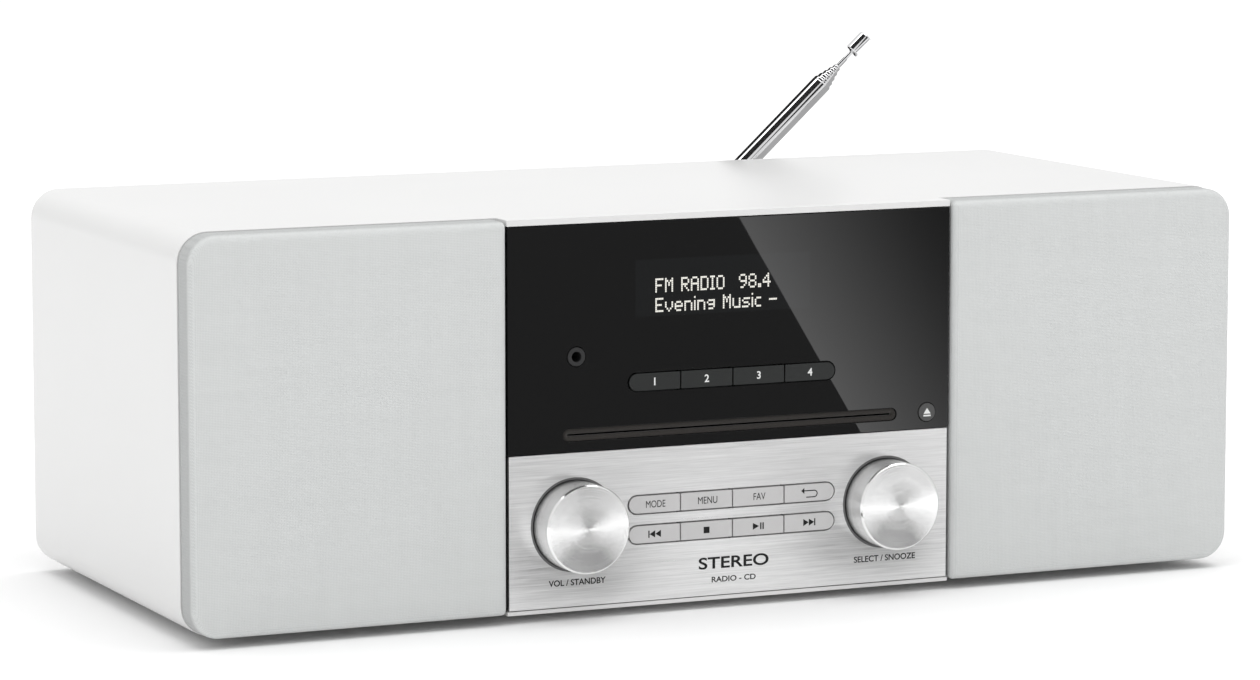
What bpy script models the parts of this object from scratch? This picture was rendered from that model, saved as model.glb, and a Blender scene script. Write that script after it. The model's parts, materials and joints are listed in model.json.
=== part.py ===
"""Tabletop radio with two grilles, a disc slot, push buttons, knobs and a telescopic antenna.

Metres, +Z up. The front faces -Y and +X is on the right seen from the front. The
origin is in the middle of the object's box, on the surface that the feet stand on.
"""

from math import cos, pi, radians, sin

import bmesh
import bpy
from mathutils import Matrix, Vector

MM = 0.001

# Clearances
SEAT_GAP = 0.3 * MM          # between pieces that rest on, or seat in, each other
SLIDE_GAP = 0.4 * MM         # around pieces that slide or turn
TUBE_GAP = 0.2 * MM          # between the antenna's tubes

# Cabinet
CABINET_WIDTH = 400 * MM
CABINET_HEIGHT = 136.5 * MM
CABINET_DEPTH = 159.8 * MM   # from the front edge beside the grilles to the back edge
CABINET_WALL = 9 * MM
CORNER_RADIUS = 10.5 * MM
INNER_CORNER_RADIUS = 2 * MM
FOOT_HEIGHT = 3 * MM
FOOT_RADIUS = 8 * MM
FOOT_INSET = 26 * MM

# Grilles
GRILLE_DEPTH = 11.1 * MM     # how far the grilles stand in front of the cabinet's edge
GRILLE_EDGE_RADIUS = 3 * MM
GRILLE_INNER_CORNER = 2 * MM
GRILLE_MARGIN = 0.4 * MM     # from the cabinet's outline
CLOTH_THICKNESS = 0.8 * MM
GRILLE_OPENING_ROOM = 5.95 * MM   # in the frame's opening, around the loudspeaker

# Centre module
MODULE_GAP = 0.5 * MM        # to the grilles on both sides
PANEL_BACKSET = 2 * MM       # behind the grilles' front
TOP_LIP = 2.3 * MM
BOTTOM_LIP = 1.4 * MM
PANEL_HEIGHT = 54.1 * MM
PANEL_SIDE = 8.7 * MM        # beside each knob's hole
PANEL_THICKNESS = 1.5 * MM
WINDOW_THICKNESS = 2 * MM
CARRIER_THICKNESS = 3 * MM
CARRIER_WALL = 1.8 * MM

# Baffle and rear panel
BAFFLE_THICKNESS = 8 * MM
BAFFLE_LEDGE = 5 * MM        # behind the module, on both sides of its middle opening
BAFFLE_RIM = 7 * MM          # above and under its middle opening
REAR_PANEL_THICKNESS = 2.5 * MM
REAR_PANEL_BACKSET = 0.5 * MM

# Push buttons. Heights in the window are from its lower edge, and those in the
# control panel are from the panel's lower edge.
BUTTON_PITCH = 20 * MM
BUTTON_HEIGHT = 7 * MM
BUTTONS_IN_ROW = 4
BUTTON_GAP = 0.5 * MM
BUTTON_PROUD = 0.4 * MM
BUTTON_TRAVEL = 0.8 * MM
BUTTON_FLANGE = 1 * MM       # thickness, and reach behind the front plate
STEM_RADIUS = 1.6 * MM
SWITCH_RADIUS = 1.8 * MM
SWITCH_HEIGHT = 1.3 * MM
PRESET_ROW_HEIGHT = 22.8 * MM
UPPER_ROW_HEIGHT = 34.1 * MM
LOWER_ROW_HEIGHT = 23.6 * MM
EJECT_RADIUS = 3.5 * MM
EJECT_GAP = 8.4 * MM         # from the slot's end
BOARD_THICKNESS = 1.6 * MM
BOARD_BACKSET = 14 * MM      # from the front of the centre module
BOARD_SIDE_ROOM = 1 * MM     # in the baffle's middle opening
BOARD_RIM = 8 * MM           # above the presets

# Disc slot, display and headphone socket, heights from the window's lower edge
DISC_WIDTH = 120 * MM
SLOT_SIDE_ROOM = 4.3 * MM
SLOT_OPENING = 4.6 * MM
SLOT_HEIGHT = 5.8 * MM
DISPLAY_WIDTH = 70 * MM
DISPLAY_TALL = 22 * MM
DISPLAY_X = -4 * MM
DISPLAY_DROP = 23.3 * MM     # its middle, below the window's upper edge
DISPLAY_THICKNESS = 2.4 * MM
SOCKET_X = -59.2 * MM
SOCKET_HEIGHT = 32.9 * MM
SOCKET_RADIUS = 3.3 * MM
SOCKET_BORE = 1.8 * MM

# Knobs, shafts and encoders
KNOB_GAP = 3.3 * MM          # from the rows of buttons to a knob's hole
KNOB_HEIGHT = 28.8 * MM      # from the control panel's lower edge
KNOB_RADIUS = 15.5 * MM
KNOB_PROUD = 12 * MM
KNOB_WALL = 1.8 * MM
KNOB_CHAMFER = 0.6 * MM
KNOB_RING = 1 * MM           # gap between a knob and its hole in the panel
KNOB_SINK = 1 * MM           # how deep a knob reaches into that hole
SHAFT_RADIUS = 2.9 * MM
NECK_RADIUS = 1.7 * MM
PLUNGER_WALL = 0.9 * MM
BUSH_WALL = 1.2 * MM
ENCODER_SIDE = 12 * MM

# Loudspeakers
SPEAKER_RADIUS = 40 * MM
SPEAKER_SEGMENTS = 24
SPEAKER_LEDGE = 4.4 * MM     # how far its flange reaches over the edge of its hole
SPEAKER_FLANGE = 2.5 * MM
BASKET_DEPTH = 28 * MM
BASKET_WALL = 1.6 * MM
CONE_GAP = 1.4 * MM
COIL_RADIUS = 9 * MM
COIL_WALL = 0.7 * MM
MAGNET_RADIUS = 22 * MM
MAGNET_DEPTH = 12 * MM

# Disc drive. Its heights are from the disc's plane.
DISC_THICKNESS = 1.2 * MM
DRIVE_SIDE_ROOM = 7.7 * MM   # beyond the slot's ends
DRIVE_WALL = 1.4 * MM
DRIVE_FRONT = 24 * MM        # behind the grilles' front
DRIVE_DEPTH = 134 * MM
DRIVE_FLOOR = 15 * MM        # below the disc
DRIVE_TOP = 7 * MM           # above the disc
ROLLER_RADIUS = 3.5 * MM
ROLLER_BACKSET = 6 * MM
JOURNAL_RADIUS = 1.5 * MM
HUB_RADIUS = 7.3 * MM
TURNTABLE_RADIUS = 14.5 * MM
SPINDLE_RADIUS = 1.5 * MM
SPINDLE_BACKSET = 72 * MM    # from the drive's front
SLED_SIZE = Vector((24, 30, 5)) * MM
SLED_X = 25 * MM
CLAMP_RADIUS = 18 * MM

# Sockets in the rear panel
INLET_X = -150 * MM
INLET_HEIGHT = 28 * MM
INLET_SIZE = Vector((26, 14, 18)) * MM
AUDIO_X = -62 * MM
AUDIO_HEIGHT = 30 * MM
AUDIO_SIZE = Vector((34, 12, 12)) * MM
VENT_COUNT = 9
VENT_PITCH = 7 * MM
VENT_WIDTH = 2.5 * MM
VENT_TALL = 32 * MM

# Antenna. Distances along it are from the pivot.
ANTENNA_X = 39.2 * MM
ANTENNA_HEIGHT = 88 * MM
ANTENNA_BACKSET = 9.3 * MM   # behind the cabinet's back edge
ANTENNA_ANGLE = radians(42.2)
ANTENNA_RADIUS = 3.8 * MM
ANTENNA_TUBES = 5
ANTENNA_WALL = 0.38 * MM
ANTENNA_BASE = 8 * MM
ANTENNA_OUTER_END = 113.8 * MM
ANTENNA_STEP = 2.15 * MM     # each closed tube reaches past the one around it
ROD_SHOWN = 8 * MM
TIP_RADIUS = 3 * MM
TIP_LENGTH = 8.8 * MM
SWIVEL_RADIUS = 7 * MM
SWIVEL_NECK = 5 * MM
FORK_HALF_WIDTH = 4.8 * MM
FORK_REACH = 4 * MM
TONGUE_THICKNESS = 3.4 * MM
TONGUE_RADIUS = 3.2 * MM
PIN_RADIUS = 1.2 * MM

# Places that follow from the sizes above
ANTENNA_REACH = ANTENNA_BACKSET + max(FORK_REACH, ANTENNA_RADIUS)
LENGTH = KNOB_PROUD + GRILLE_DEPTH - PANEL_BACKSET + CABINET_DEPTH + ANTENNA_REACH
MODULE_Y = KNOB_PROUD - LENGTH / 2
GRILLE_Y = MODULE_Y - PANEL_BACKSET
SEAM_Y = GRILLE_Y + GRILLE_DEPTH
REAR_Y = SEAM_Y + CABINET_DEPTH
ANTENNA_Y = REAR_Y + ANTENNA_BACKSET
CARRIER_Y = MODULE_Y + WINDOW_THICKNESS + SEAT_GAP
BOARD_Y = MODULE_Y + BOARD_BACKSET
BASE_Z = FOOT_HEIGHT
TOP_Z = BASE_Z + CABINET_HEIGHT
PANEL_Z = BASE_Z + BOTTOM_LIP
WINDOW_Z = PANEL_Z + PANEL_HEIGHT
WINDOW_TOP = TOP_Z - TOP_LIP
ROW_WIDTH = BUTTON_PITCH * BUTTONS_IN_ROW
KNOB_HOLE = KNOB_RADIUS + KNOB_RING
KNOB_X = ROW_WIDTH / 2 + KNOB_GAP + KNOB_HOLE
HALF_MODULE = KNOB_X + KNOB_HOLE + PANEL_SIDE
HALF_CABINET = CABINET_WIDTH / 2
GRILLE_INNER_X = HALF_MODULE + MODULE_GAP
GRILLE_OUTER_X = HALF_CABINET - GRILLE_MARGIN
SPEAKER_X = (GRILLE_INNER_X + GRILLE_OUTER_X) / 2
SPEAKER_Z = BASE_Z + CABINET_HEIGHT / 2
KNOB_Z = PANEL_Z + KNOB_HEIGHT
SLOT_Z = WINDOW_Z + SLOT_HEIGHT
PRESET_Z = WINDOW_Z + PRESET_ROW_HEIGHT
UPPER_ROW_Z = PANEL_Z + UPPER_ROW_HEIGHT
LOWER_ROW_Z = PANEL_Z + LOWER_ROW_HEIGHT
DISPLAY_Z = WINDOW_TOP - DISPLAY_DROP
SOCKET_Z = WINDOW_Z + SOCKET_HEIGHT
DRIVE_Y = GRILLE_Y + DRIVE_FRONT
SPINDLE_Y = DRIVE_Y + SPINDLE_BACKSET
ANTENNA_Z = BASE_Z + ANTENNA_HEIGHT
SLOT_WIDTH = DISC_WIDTH + 2 * SLOT_SIDE_ROOM
EJECT_X = SLOT_WIDTH / 2 + EJECT_GAP + EJECT_RADIUS
DRIVE_WIDTH = SLOT_WIDTH + 2 * DRIVE_SIDE_ROOM
BAFFLE_OPENING_X = HALF_MODULE - BAFFLE_LEDGE
BAFFLE_OPENING_Z = BASE_Z + CABINET_WALL + BAFFLE_RIM
SPEAKER_HOLE_RADIUS = SPEAKER_RADIUS - SPEAKER_LEDGE

FINISHES = {
    # name: (colour, roughness, metallic)
    "white_lacquer": ((0.88, 0.88, 0.87), 0.25, 0.0),
    "grey_cloth": ((0.62, 0.64, 0.63), 0.95, 0.0),
    "black_gloss": ((0.012, 0.012, 0.012), 0.05, 0.0),
    "brushed_aluminium": ((0.75, 0.75, 0.75), 0.35, 1.0),
    "spun_aluminium": ((0.8, 0.8, 0.8), 0.3, 1.0),
    "grey_button": ((0.56, 0.55, 0.55), 0.4, 0.0),
    "black_button": ((0.02, 0.022, 0.022), 0.4, 0.0),
    "black_plastic": ((0.03, 0.03, 0.03), 0.55, 0.0),
    "chipboard": ((0.45, 0.32, 0.2), 0.8, 0.0),
    "chrome": ((0.8, 0.8, 0.8), 0.08, 1.0),
    "zinc_steel": ((0.6, 0.61, 0.62), 0.35, 1.0),
    "paper_cone": ((0.05, 0.05, 0.05), 0.9, 0.0),
    "green_board": ((0.02, 0.16, 0.06), 0.5, 0.0),
    "display_glass": ((0.02, 0.025, 0.03), 0.1, 0.0),
    "rubber": ((0.02, 0.02, 0.02), 0.9, 0.0),
    "steel": ((0.55, 0.55, 0.55), 0.3, 1.0),
}


def clear_scene():
    for obj in list(bpy.data.objects):
        bpy.data.objects.remove(obj, do_unlink=True)


def finish_material(finish):
    """The Principled material of a finish, made on first use."""
    material = bpy.data.materials.get(finish)
    if material is None:
        colour, roughness, metallic = FINISHES[finish]
        material = bpy.data.materials.new(finish)
        material.use_nodes = True
        shader = material.node_tree.nodes["Principled BSDF"]
        shader.inputs["Base Color"].default_value = (*colour, 1.0)
        shader.inputs["Roughness"].default_value = roughness
        shader.inputs["Metallic"].default_value = metallic
    return material


def add_object(name, shape, finish="steel", location=(0, 0, 0), parent=None):
    """Make an object from a bmesh, with its faces turned outwards."""
    bmesh.ops.recalc_face_normals(shape, faces=shape.faces)
    mesh = bpy.data.meshes.new(name)
    shape.to_mesh(mesh)
    shape.free()
    mesh.materials.append(finish_material(finish))
    mesh.shade_smooth()
    mesh.set_sharp_from_angle(angle=radians(35))
    obj = bpy.data.objects.new(name, mesh)
    bpy.context.scene.collection.objects.link(obj)
    obj.location = location
    obj.parent = parent
    return obj


def arc(centre, radius, start, stop, steps):
    """Points on a circle, from one angle in degrees to another."""
    angles = [radians(start + (stop - start) * i / steps) for i in range(steps + 1)]
    return [(centre[0] + radius * cos(a), centre[1] + radius * sin(a)) for a in angles]


def rounded_outline(x0, z0, x1, z1, radii, steps=6):
    """Anticlockwise outline. Its radii start at the lower left corner."""
    if not isinstance(radii, (tuple, list)):
        radii = (radii,) * 4
    corners = [(x0, z0, 1, 1, 180), (x1, z0, -1, 1, 270), (x1, z1, -1, -1, 0), (x0, z1, 1, -1, 90)]
    outline = []
    for (x, z, toward_x, toward_z, start), radius in zip(corners, radii):
        if radius:
            centre = (x + toward_x * radius, z + toward_z * radius)
            outline += arc(centre, radius, start, start + 90, steps)
        else:
            outline.append((x, z))
    return outline


def slot_outline(x, z, width, height, steps=8):
    """A stadium: straight sides and round ends."""
    reach = width / 2 - height / 2
    right = arc((x + reach, z), height / 2, -90, 90, steps)
    left = arc((x - reach, z), height / 2, 90, 270, steps)
    return right + left


def prism_shape(outline, front, back):
    """An outline in X and Z, carried along Y."""
    shape = bmesh.new()
    near = [shape.verts.new((x, front, z)) for x, z in outline]
    far = [shape.verts.new((x, back, z)) for x, z in outline]
    shape.faces.new(near)
    shape.faces.new(far[::-1])
    for i, vertex in enumerate(near):
        j = (i + 1) % len(near)
        shape.faces.new((vertex, far[i], far[j], near[j]))
    return shape


def box_shape(low, high):
    outline = [(low[0], low[2]), (high[0], low[2]), (high[0], high[2]), (low[0], high[2])]
    return prism_shape(outline, low[1], high[1])


def turned_shape(profile, segments=32, axis="Y"):
    """Turn (distance along the axis, radius) points. A profile that stays off the axis is a ring."""
    turn = {
        "X": Matrix.Rotation(-pi / 2, 3, "Z"),
        "Y": Matrix.Identity(3),
        "Z": Matrix.Rotation(pi / 2, 3, "X"),
    }[axis]
    shape = bmesh.new()
    rings = []
    for along, radius in profile:
        count = segments if radius else 1
        angles = [2 * pi * i / segments for i in range(count)]
        points = [turn @ Vector((radius * cos(a), along, radius * sin(a))) for a in angles]
        rings.append([shape.verts.new(point) for point in points])
    pairs = list(zip(rings, rings[1:]))
    if len(rings[0]) > 1 and len(rings[-1]) > 1:
        pairs.append((rings[-1], rings[0]))
    for first, second in pairs:
        for i in range(segments):
            j = i + 1
            ring = (first, i), (first, j), (second, j), (second, i)
            corners = list(dict.fromkeys(points[k % len(points)] for points, k in ring))
            if len(corners) > 2:
                shape.faces.new(corners)
    return shape


def combine(target, operation, shapes):
    """Cut each shape from an object, or join it on. Shapes are in the object's own space."""
    bpy.context.view_layer.update()
    for shape in shapes:
        tool = add_object("tool", shape)
        tool.matrix_world = target.matrix_world
        modifier = target.modifiers.new(operation, "BOOLEAN")
        modifier.operation = operation
        modifier.object = tool
        bpy.context.view_layer.update()
        depsgraph = bpy.context.evaluated_depsgraph_get()
        mesh = bpy.data.meshes.new_from_object(target.evaluated_get(depsgraph))
        target.modifiers.clear()
        target.data = mesh
        bpy.data.objects.remove(tool, do_unlink=True)
    return target


def cut(target, *shapes):
    return combine(target, "DIFFERENCE", shapes)


def join(target, *shapes):
    return combine(target, "UNION", shapes)


def mirrored(outline):
    """The outline mirrored left to right, still anticlockwise."""
    return [(-x, z) for x, z in reversed(outline)]


def disc_shape(x, z, radius, front, back, segments=32):
    return prism_shape(arc((x, z), radius, 0, 360 - 360 / segments, segments - 1), front, back)


# Cabinet, baffle, rear panel and feet

def cabinet_shell():
    """A box open at both ends, with a lip that reaches forward over and under the module."""
    outer = rounded_outline(-HALF_CABINET, BASE_Z, HALF_CABINET, TOP_Z, CORNER_RADIUS, 8)
    cabinet = add_object("cabinet_shell", prism_shape(outer, MODULE_Y, REAR_Y), "white_lacquer")
    inner = rounded_outline(
        -HALF_CABINET + CABINET_WALL, BASE_Z + CABINET_WALL,
        HALF_CABINET - CABINET_WALL, TOP_Z - CABINET_WALL, INNER_CORNER_RADIUS, 3,
    )
    beyond = 5 * MM
    side = HALF_MODULE + beyond
    cut(
        cabinet,
        prism_shape(inner, MODULE_Y - beyond, REAR_Y + beyond),
        box_shape((-side, MODULE_Y - beyond, PANEL_Z), (side, SEAM_Y, WINDOW_TOP)),
    )
    for side in (-1, 1):
        ends = sorted((side * HALF_MODULE, side * (HALF_CABINET + beyond)))
        cut(cabinet, box_shape((ends[0], MODULE_Y - beyond, 0), (ends[1], SEAM_Y, TOP_Z + beyond)))


def cavity_outline():
    """Outline of a plate that fits inside the cabinet's walls."""
    inset = CABINET_WALL + SEAT_GAP
    return rounded_outline(
        -HALF_CABINET + inset, BASE_Z + inset, HALF_CABINET - inset, TOP_Z - inset, INNER_CORNER_RADIUS, 3,
    )


def front_baffle():
    front = SEAM_Y + SEAT_GAP
    back = front + BAFFLE_THICKNESS
    baffle = add_object("front_baffle", prism_shape(cavity_outline(), front, back), "chipboard")
    half = BAFFLE_OPENING_X
    opening = rounded_outline(
        -half, BAFFLE_OPENING_Z, half, TOP_Z - CABINET_WALL - BAFFLE_RIM, MM, 2,
    )
    cut(baffle, prism_shape(opening, front - MM, back + MM))
    for side in (-1, 1):
        hole = SPEAKER_X * side, SPEAKER_Z, SPEAKER_HOLE_RADIUS
        cut(baffle, disc_shape(*hole, front - MM, back + MM, SPEAKER_SEGMENTS))


def socket_outline(x, z, size):
    """Cut-out in the rear panel around a socket's body."""
    half_x, half_z = size.x / 2 + SEAT_GAP, size.z / 2 + SEAT_GAP
    return rounded_outline(x - half_x, z - half_z, x + half_x, z + half_z, MM, 2)


def rear_panel():
    back = REAR_Y - REAR_PANEL_BACKSET
    front = back - REAR_PANEL_THICKNESS
    panel = add_object("rear_panel", prism_shape(cavity_outline(), front, back), "black_plastic")
    through = front - MM, back + MM
    cut(
        panel,
        prism_shape(socket_outline(INLET_X, BASE_Z + INLET_HEIGHT, INLET_SIZE), *through),
        prism_shape(socket_outline(AUDIO_X, BASE_Z + AUDIO_HEIGHT, AUDIO_SIZE), *through),
        disc_shape(ANTENNA_X, ANTENNA_Z, SWIVEL_NECK + SLIDE_GAP, *through),
    )
    for side in (-1, 1):
        for i in range(VENT_COUNT):
            x = side * SPEAKER_X + (i - (VENT_COUNT - 1) / 2) * VENT_PITCH
            upright = [(-b, a) for a, b in slot_outline(SPEAKER_Z, -x, VENT_TALL, VENT_WIDTH, 3)]
            cut(panel, prism_shape(upright, *through))


def feet():
    height = FOOT_HEIGHT - SEAT_GAP
    profile = [(0, 0), (0, FOOT_RADIUS - MM), (0.6 * MM, FOOT_RADIUS), (height, FOOT_RADIUS), (height, 0)]
    for row, y in (("front", SEAM_Y + FOOT_INSET), ("rear", REAR_Y - FOOT_INSET)):
        for side, sign in (("left", -1), ("right", 1)):
            x = sign * (HALF_CABINET - FOOT_INSET)
            add_object(f"foot_{row}_{side}", turned_shape(profile, 24, "Z"), "rubber", (x, y, 0))


# Grilles

def grille_outline(inset, side):
    """Outline of the right or the left grille, moved inwards by an inset."""
    outer = max(CORNER_RADIUS - GRILLE_MARGIN - inset, MM)
    inner = max(GRILLE_INNER_CORNER - inset, 0.5 * MM)
    outline = rounded_outline(
        GRILLE_INNER_X + inset, BASE_Z + GRILLE_MARGIN + inset,
        GRILLE_OUTER_X - inset, TOP_Z - GRILLE_MARGIN - inset, (inner, outer, outer, inner), 4,
    )
    return outline if side > 0 else mirrored(outline)


def rounded_plate_shape(outline_at, front, back, radius, steps=3):
    """A plate with a rounded front edge: its outline grows along a quarter circle."""
    shape = bmesh.new()
    rings = []
    for step in range(steps + 1):
        angle = pi / 2 * step / steps
        inset, depth = radius * (1 - sin(angle)), radius * (1 - cos(angle))
        rings.append([shape.verts.new((x, front + depth, z)) for x, z in outline_at(inset)])
    rings.append([shape.verts.new((x, back, z)) for x, z in outline_at(0)])
    shape.faces.new(rings[0])
    shape.faces.new(rings[-1][::-1])
    for near, far in zip(rings, rings[1:]):
        for i, vertex in enumerate(near):
            j = (i + 1) % len(near)
            shape.faces.new((vertex, far[i], far[j], near[j]))
    return shape


def grille(word, side):
    """A frame and the cloth that wraps its front and its sides."""
    back = SEAM_Y - SEAT_GAP
    cloth = add_object(
        f"grille_cloth_{word}",
        rounded_plate_shape(lambda inset: grille_outline(inset, side), GRILLE_Y, back, GRILLE_EDGE_RADIUS),
        "grey_cloth",
    )
    wall = CLOTH_THICKNESS
    inside_radius = GRILLE_EDGE_RADIUS - wall
    cut(cloth, rounded_plate_shape(
        lambda inset: grille_outline(wall + inset, side), GRILLE_Y + wall, back + MM, inside_radius,
    ))
    fit = wall + SEAT_GAP
    frame = add_object(
        f"grille_frame_{word}",
        rounded_plate_shape(
            lambda inset: grille_outline(fit + inset, side), GRILLE_Y + fit, back, GRILLE_EDGE_RADIUS - fit,
        ),
        "black_plastic",
    )
    half_opening = SPEAKER_RADIUS + GRILLE_OPENING_ROOM
    opening = grille_outline((GRILLE_OUTER_X - GRILLE_INNER_X) / 2 - half_opening, side)
    cut(frame, prism_shape(opening, GRILLE_Y, back + MM))


# Centre module

def display_window():
    outline = [
        (-HALF_MODULE + SEAT_GAP, WINDOW_Z), (HALF_MODULE - SEAT_GAP, WINDOW_Z),
        (HALF_MODULE - SEAT_GAP, WINDOW_TOP - SEAT_GAP), (-HALF_MODULE + SEAT_GAP, WINDOW_TOP - SEAT_GAP),
    ]
    through = MODULE_Y - MM, MODULE_Y + WINDOW_THICKNESS + MM
    window = add_object(
        "display_window", prism_shape(outline, MODULE_Y, MODULE_Y + WINDOW_THICKNESS), "black_gloss",
    )
    cut(
        window,
        prism_shape(slot_outline(0, PRESET_Z, ROW_WIDTH, BUTTON_HEIGHT), *through),
        prism_shape(slot_outline(0, SLOT_Z, SLOT_WIDTH, SLOT_OPENING), *through),
        disc_shape(EJECT_X, SLOT_Z, EJECT_RADIUS, *through),
        disc_shape(SOCKET_X, SOCKET_Z, SOCKET_RADIUS + SEAT_GAP, *through, 24),
    )


def control_panel():
    half = HALF_MODULE - 2 * SEAT_GAP
    low, high = PANEL_Z + SEAT_GAP, WINDOW_Z - SEAT_GAP
    outline = [(-half, low), (half, low), (half, high), (-half, high)]
    through = MODULE_Y - MM, MODULE_Y + PANEL_THICKNESS + MM
    panel = add_object(
        "control_panel", prism_shape(outline, MODULE_Y, MODULE_Y + PANEL_THICKNESS), "brushed_aluminium",
    )
    for z in (UPPER_ROW_Z, LOWER_ROW_Z):
        cut(panel, prism_shape(slot_outline(0, z, ROW_WIDTH, BUTTON_HEIGHT), *through))
    for side in (-1, 1):
        cut(panel, disc_shape(side * KNOB_X, KNOB_Z, KNOB_HOLE, *through, 40))


def centre_carrier():
    """A tray behind the window and the control panel, with room for what passes through it."""
    half = HALF_MODULE - 2 * SEAT_GAP
    low, high = PANEL_Z + SEAT_GAP, WINDOW_TOP - SEAT_GAP
    back = SEAM_Y
    tray = box_shape((-half, CARRIER_Y, low), (half, back, high))
    carrier = add_object("centre_carrier", tray, "black_plastic")
    floor = CARRIER_Y + CARRIER_THICKNESS
    wall = CARRIER_WALL
    cut(carrier, box_shape(
        (-half + wall, floor, low + wall), (half - wall, back + MM, high - wall),
    ))
    through = CARRIER_Y - MM, floor + MM
    half_row = ROW_WIDTH / 2 + SLIDE_GAP
    reach = BUTTON_HEIGHT / 2 + BUTTON_FLANGE + SLIDE_GAP

    def aperture(low_x, low_z, high_x, high_z):
        return box_shape((low_x, through[0], low_z), (high_x, through[1], high_z))

    side = DISPLAY_WIDTH / 2 + SEAT_GAP
    rise = DISPLAY_TALL / 2 + SEAT_GAP
    cut(
        carrier,
        aperture(-half_row, PRESET_Z - reach, half_row, PRESET_Z + reach),
        aperture(-half_row, LOWER_ROW_Z - reach, half_row, UPPER_ROW_Z + reach),
        aperture(DISPLAY_X - side, DISPLAY_Z - rise, DISPLAY_X + side, DISPLAY_Z + rise),
        prism_shape(slot_outline(0, SLOT_Z, SLOT_WIDTH, SLOT_OPENING), *through),
        disc_shape(EJECT_X, SLOT_Z, EJECT_RADIUS + BUTTON_FLANGE + SLIDE_GAP, *through, 24),
        disc_shape(SOCKET_X, SOCKET_Z, SOCKET_RADIUS + SEAT_GAP, *through, 24),
    )
    for side in (-1, 1):
        radius = SHAFT_RADIUS + SLIDE_GAP + BUSH_WALL + SEAT_GAP
        cut(carrier, disc_shape(side * KNOB_X, KNOB_Z, radius, *through, 24))


def display_module():
    half = Vector((DISPLAY_WIDTH / 2, 0, DISPLAY_TALL / 2))
    centre = Vector((DISPLAY_X, CARRIER_Y, DISPLAY_Z))
    high = centre + half + Vector((0, DISPLAY_THICKNESS, 0))
    add_object("display_module", box_shape(centre - half, high), "display_glass")


def headphone_socket():
    """A round barrel flush with the window, on a square body, with a blind bore."""
    radius = SOCKET_RADIUS
    barrel = add_object(
        "headphone_socket",
        disc_shape(SOCKET_X, SOCKET_Z, radius, MODULE_Y - 0.2 * MM, CARRIER_Y + CARRIER_THICKNESS + MM, 24),
        "black_plastic",
    )
    front = CARRIER_Y + CARRIER_THICKNESS + SEAT_GAP
    back = BOARD_Y - SEAT_GAP
    half = radius + 1.2 * MM
    join(barrel, box_shape(
        (SOCKET_X - half, front, SOCKET_Z - half), (SOCKET_X + half, back, SOCKET_Z + half),
    ))
    cut(barrel, disc_shape(SOCKET_X, SOCKET_Z, SOCKET_BORE, MODULE_Y - MM, back - 1.5 * MM, 16))


def cap_outline(index):
    """One cap of a row, around the cap's own middle: round at the row's ends, square elsewhere."""
    half_x = BUTTON_PITCH / 2 - BUTTON_GAP / 2
    half_z = BUTTON_HEIGHT / 2 - BUTTON_GAP
    left = half_z if index == 0 else 0.3 * MM
    right = half_z if index == BUTTONS_IN_ROW - 1 else 0.3 * MM
    low_x = -half_x + (BUTTON_GAP / 2 if index == 0 else 0)
    high_x = half_x - (BUTTON_GAP / 2 if index == BUTTONS_IN_ROW - 1 else 0)
    return rounded_outline(low_x, -half_z, high_x, half_z, (left, right, right, left), 4)


def push_button(name, outline, x, z, plate_thickness, flange, finish):
    """A cap, a flange behind the front plate and a stem that ends short of its switch."""
    cap_back = plate_thickness + SEAT_GAP
    cap = prism_shape(outline, -BUTTON_PROUD, cap_back + MM / 2)
    button = add_object(name, cap, finish, (x, MODULE_Y, z))
    flange_back = WINDOW_THICKNESS + SEAT_GAP + BUTTON_FLANGE
    stem_back = BOARD_BACKSET - SWITCH_HEIGHT - BUTTON_TRAVEL - SEAT_GAP
    join(
        button,
        prism_shape(flange, cap_back, flange_back),
        disc_shape(0, 0, STEM_RADIUS, flange_back - MM / 2, stem_back, 10),
    )


def button_rows():
    rows = [
        ("preset_button_1 preset_button_2 preset_button_3 preset_button_4",
         PRESET_Z, WINDOW_THICKNESS, "black_button"),
        ("mode_button menu_button favourite_button back_button",
         UPPER_ROW_Z, PANEL_THICKNESS, "grey_button"),
        ("skip_back_button stop_button play_pause_button skip_forward_button",
         LOWER_ROW_Z, PANEL_THICKNESS, "grey_button"),
    ]
    half_x = BUTTON_PITCH / 2 - BUTTON_GAP
    half_z = BUTTON_HEIGHT / 2 + BUTTON_FLANGE
    flange = rounded_outline(-half_x, -half_z, half_x, half_z, 0)
    for names, z, thickness, finish in rows:
        for index, name in enumerate(names.split()):
            push_button(name, cap_outline(index), button_x(index), z, thickness, flange, finish)


def button_x(index):
    return (index - (BUTTONS_IN_ROW - 1) / 2) * BUTTON_PITCH


def eject_button():
    cap = arc((0, 0), EJECT_RADIUS - BUTTON_GAP / 2, 0, 345, 23)
    flange = arc((0, 0), EJECT_RADIUS + BUTTON_FLANGE, 0, 345, 23)
    push_button("eject_button", cap, EJECT_X, SLOT_Z, WINDOW_THICKNESS, flange, "black_button")


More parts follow.
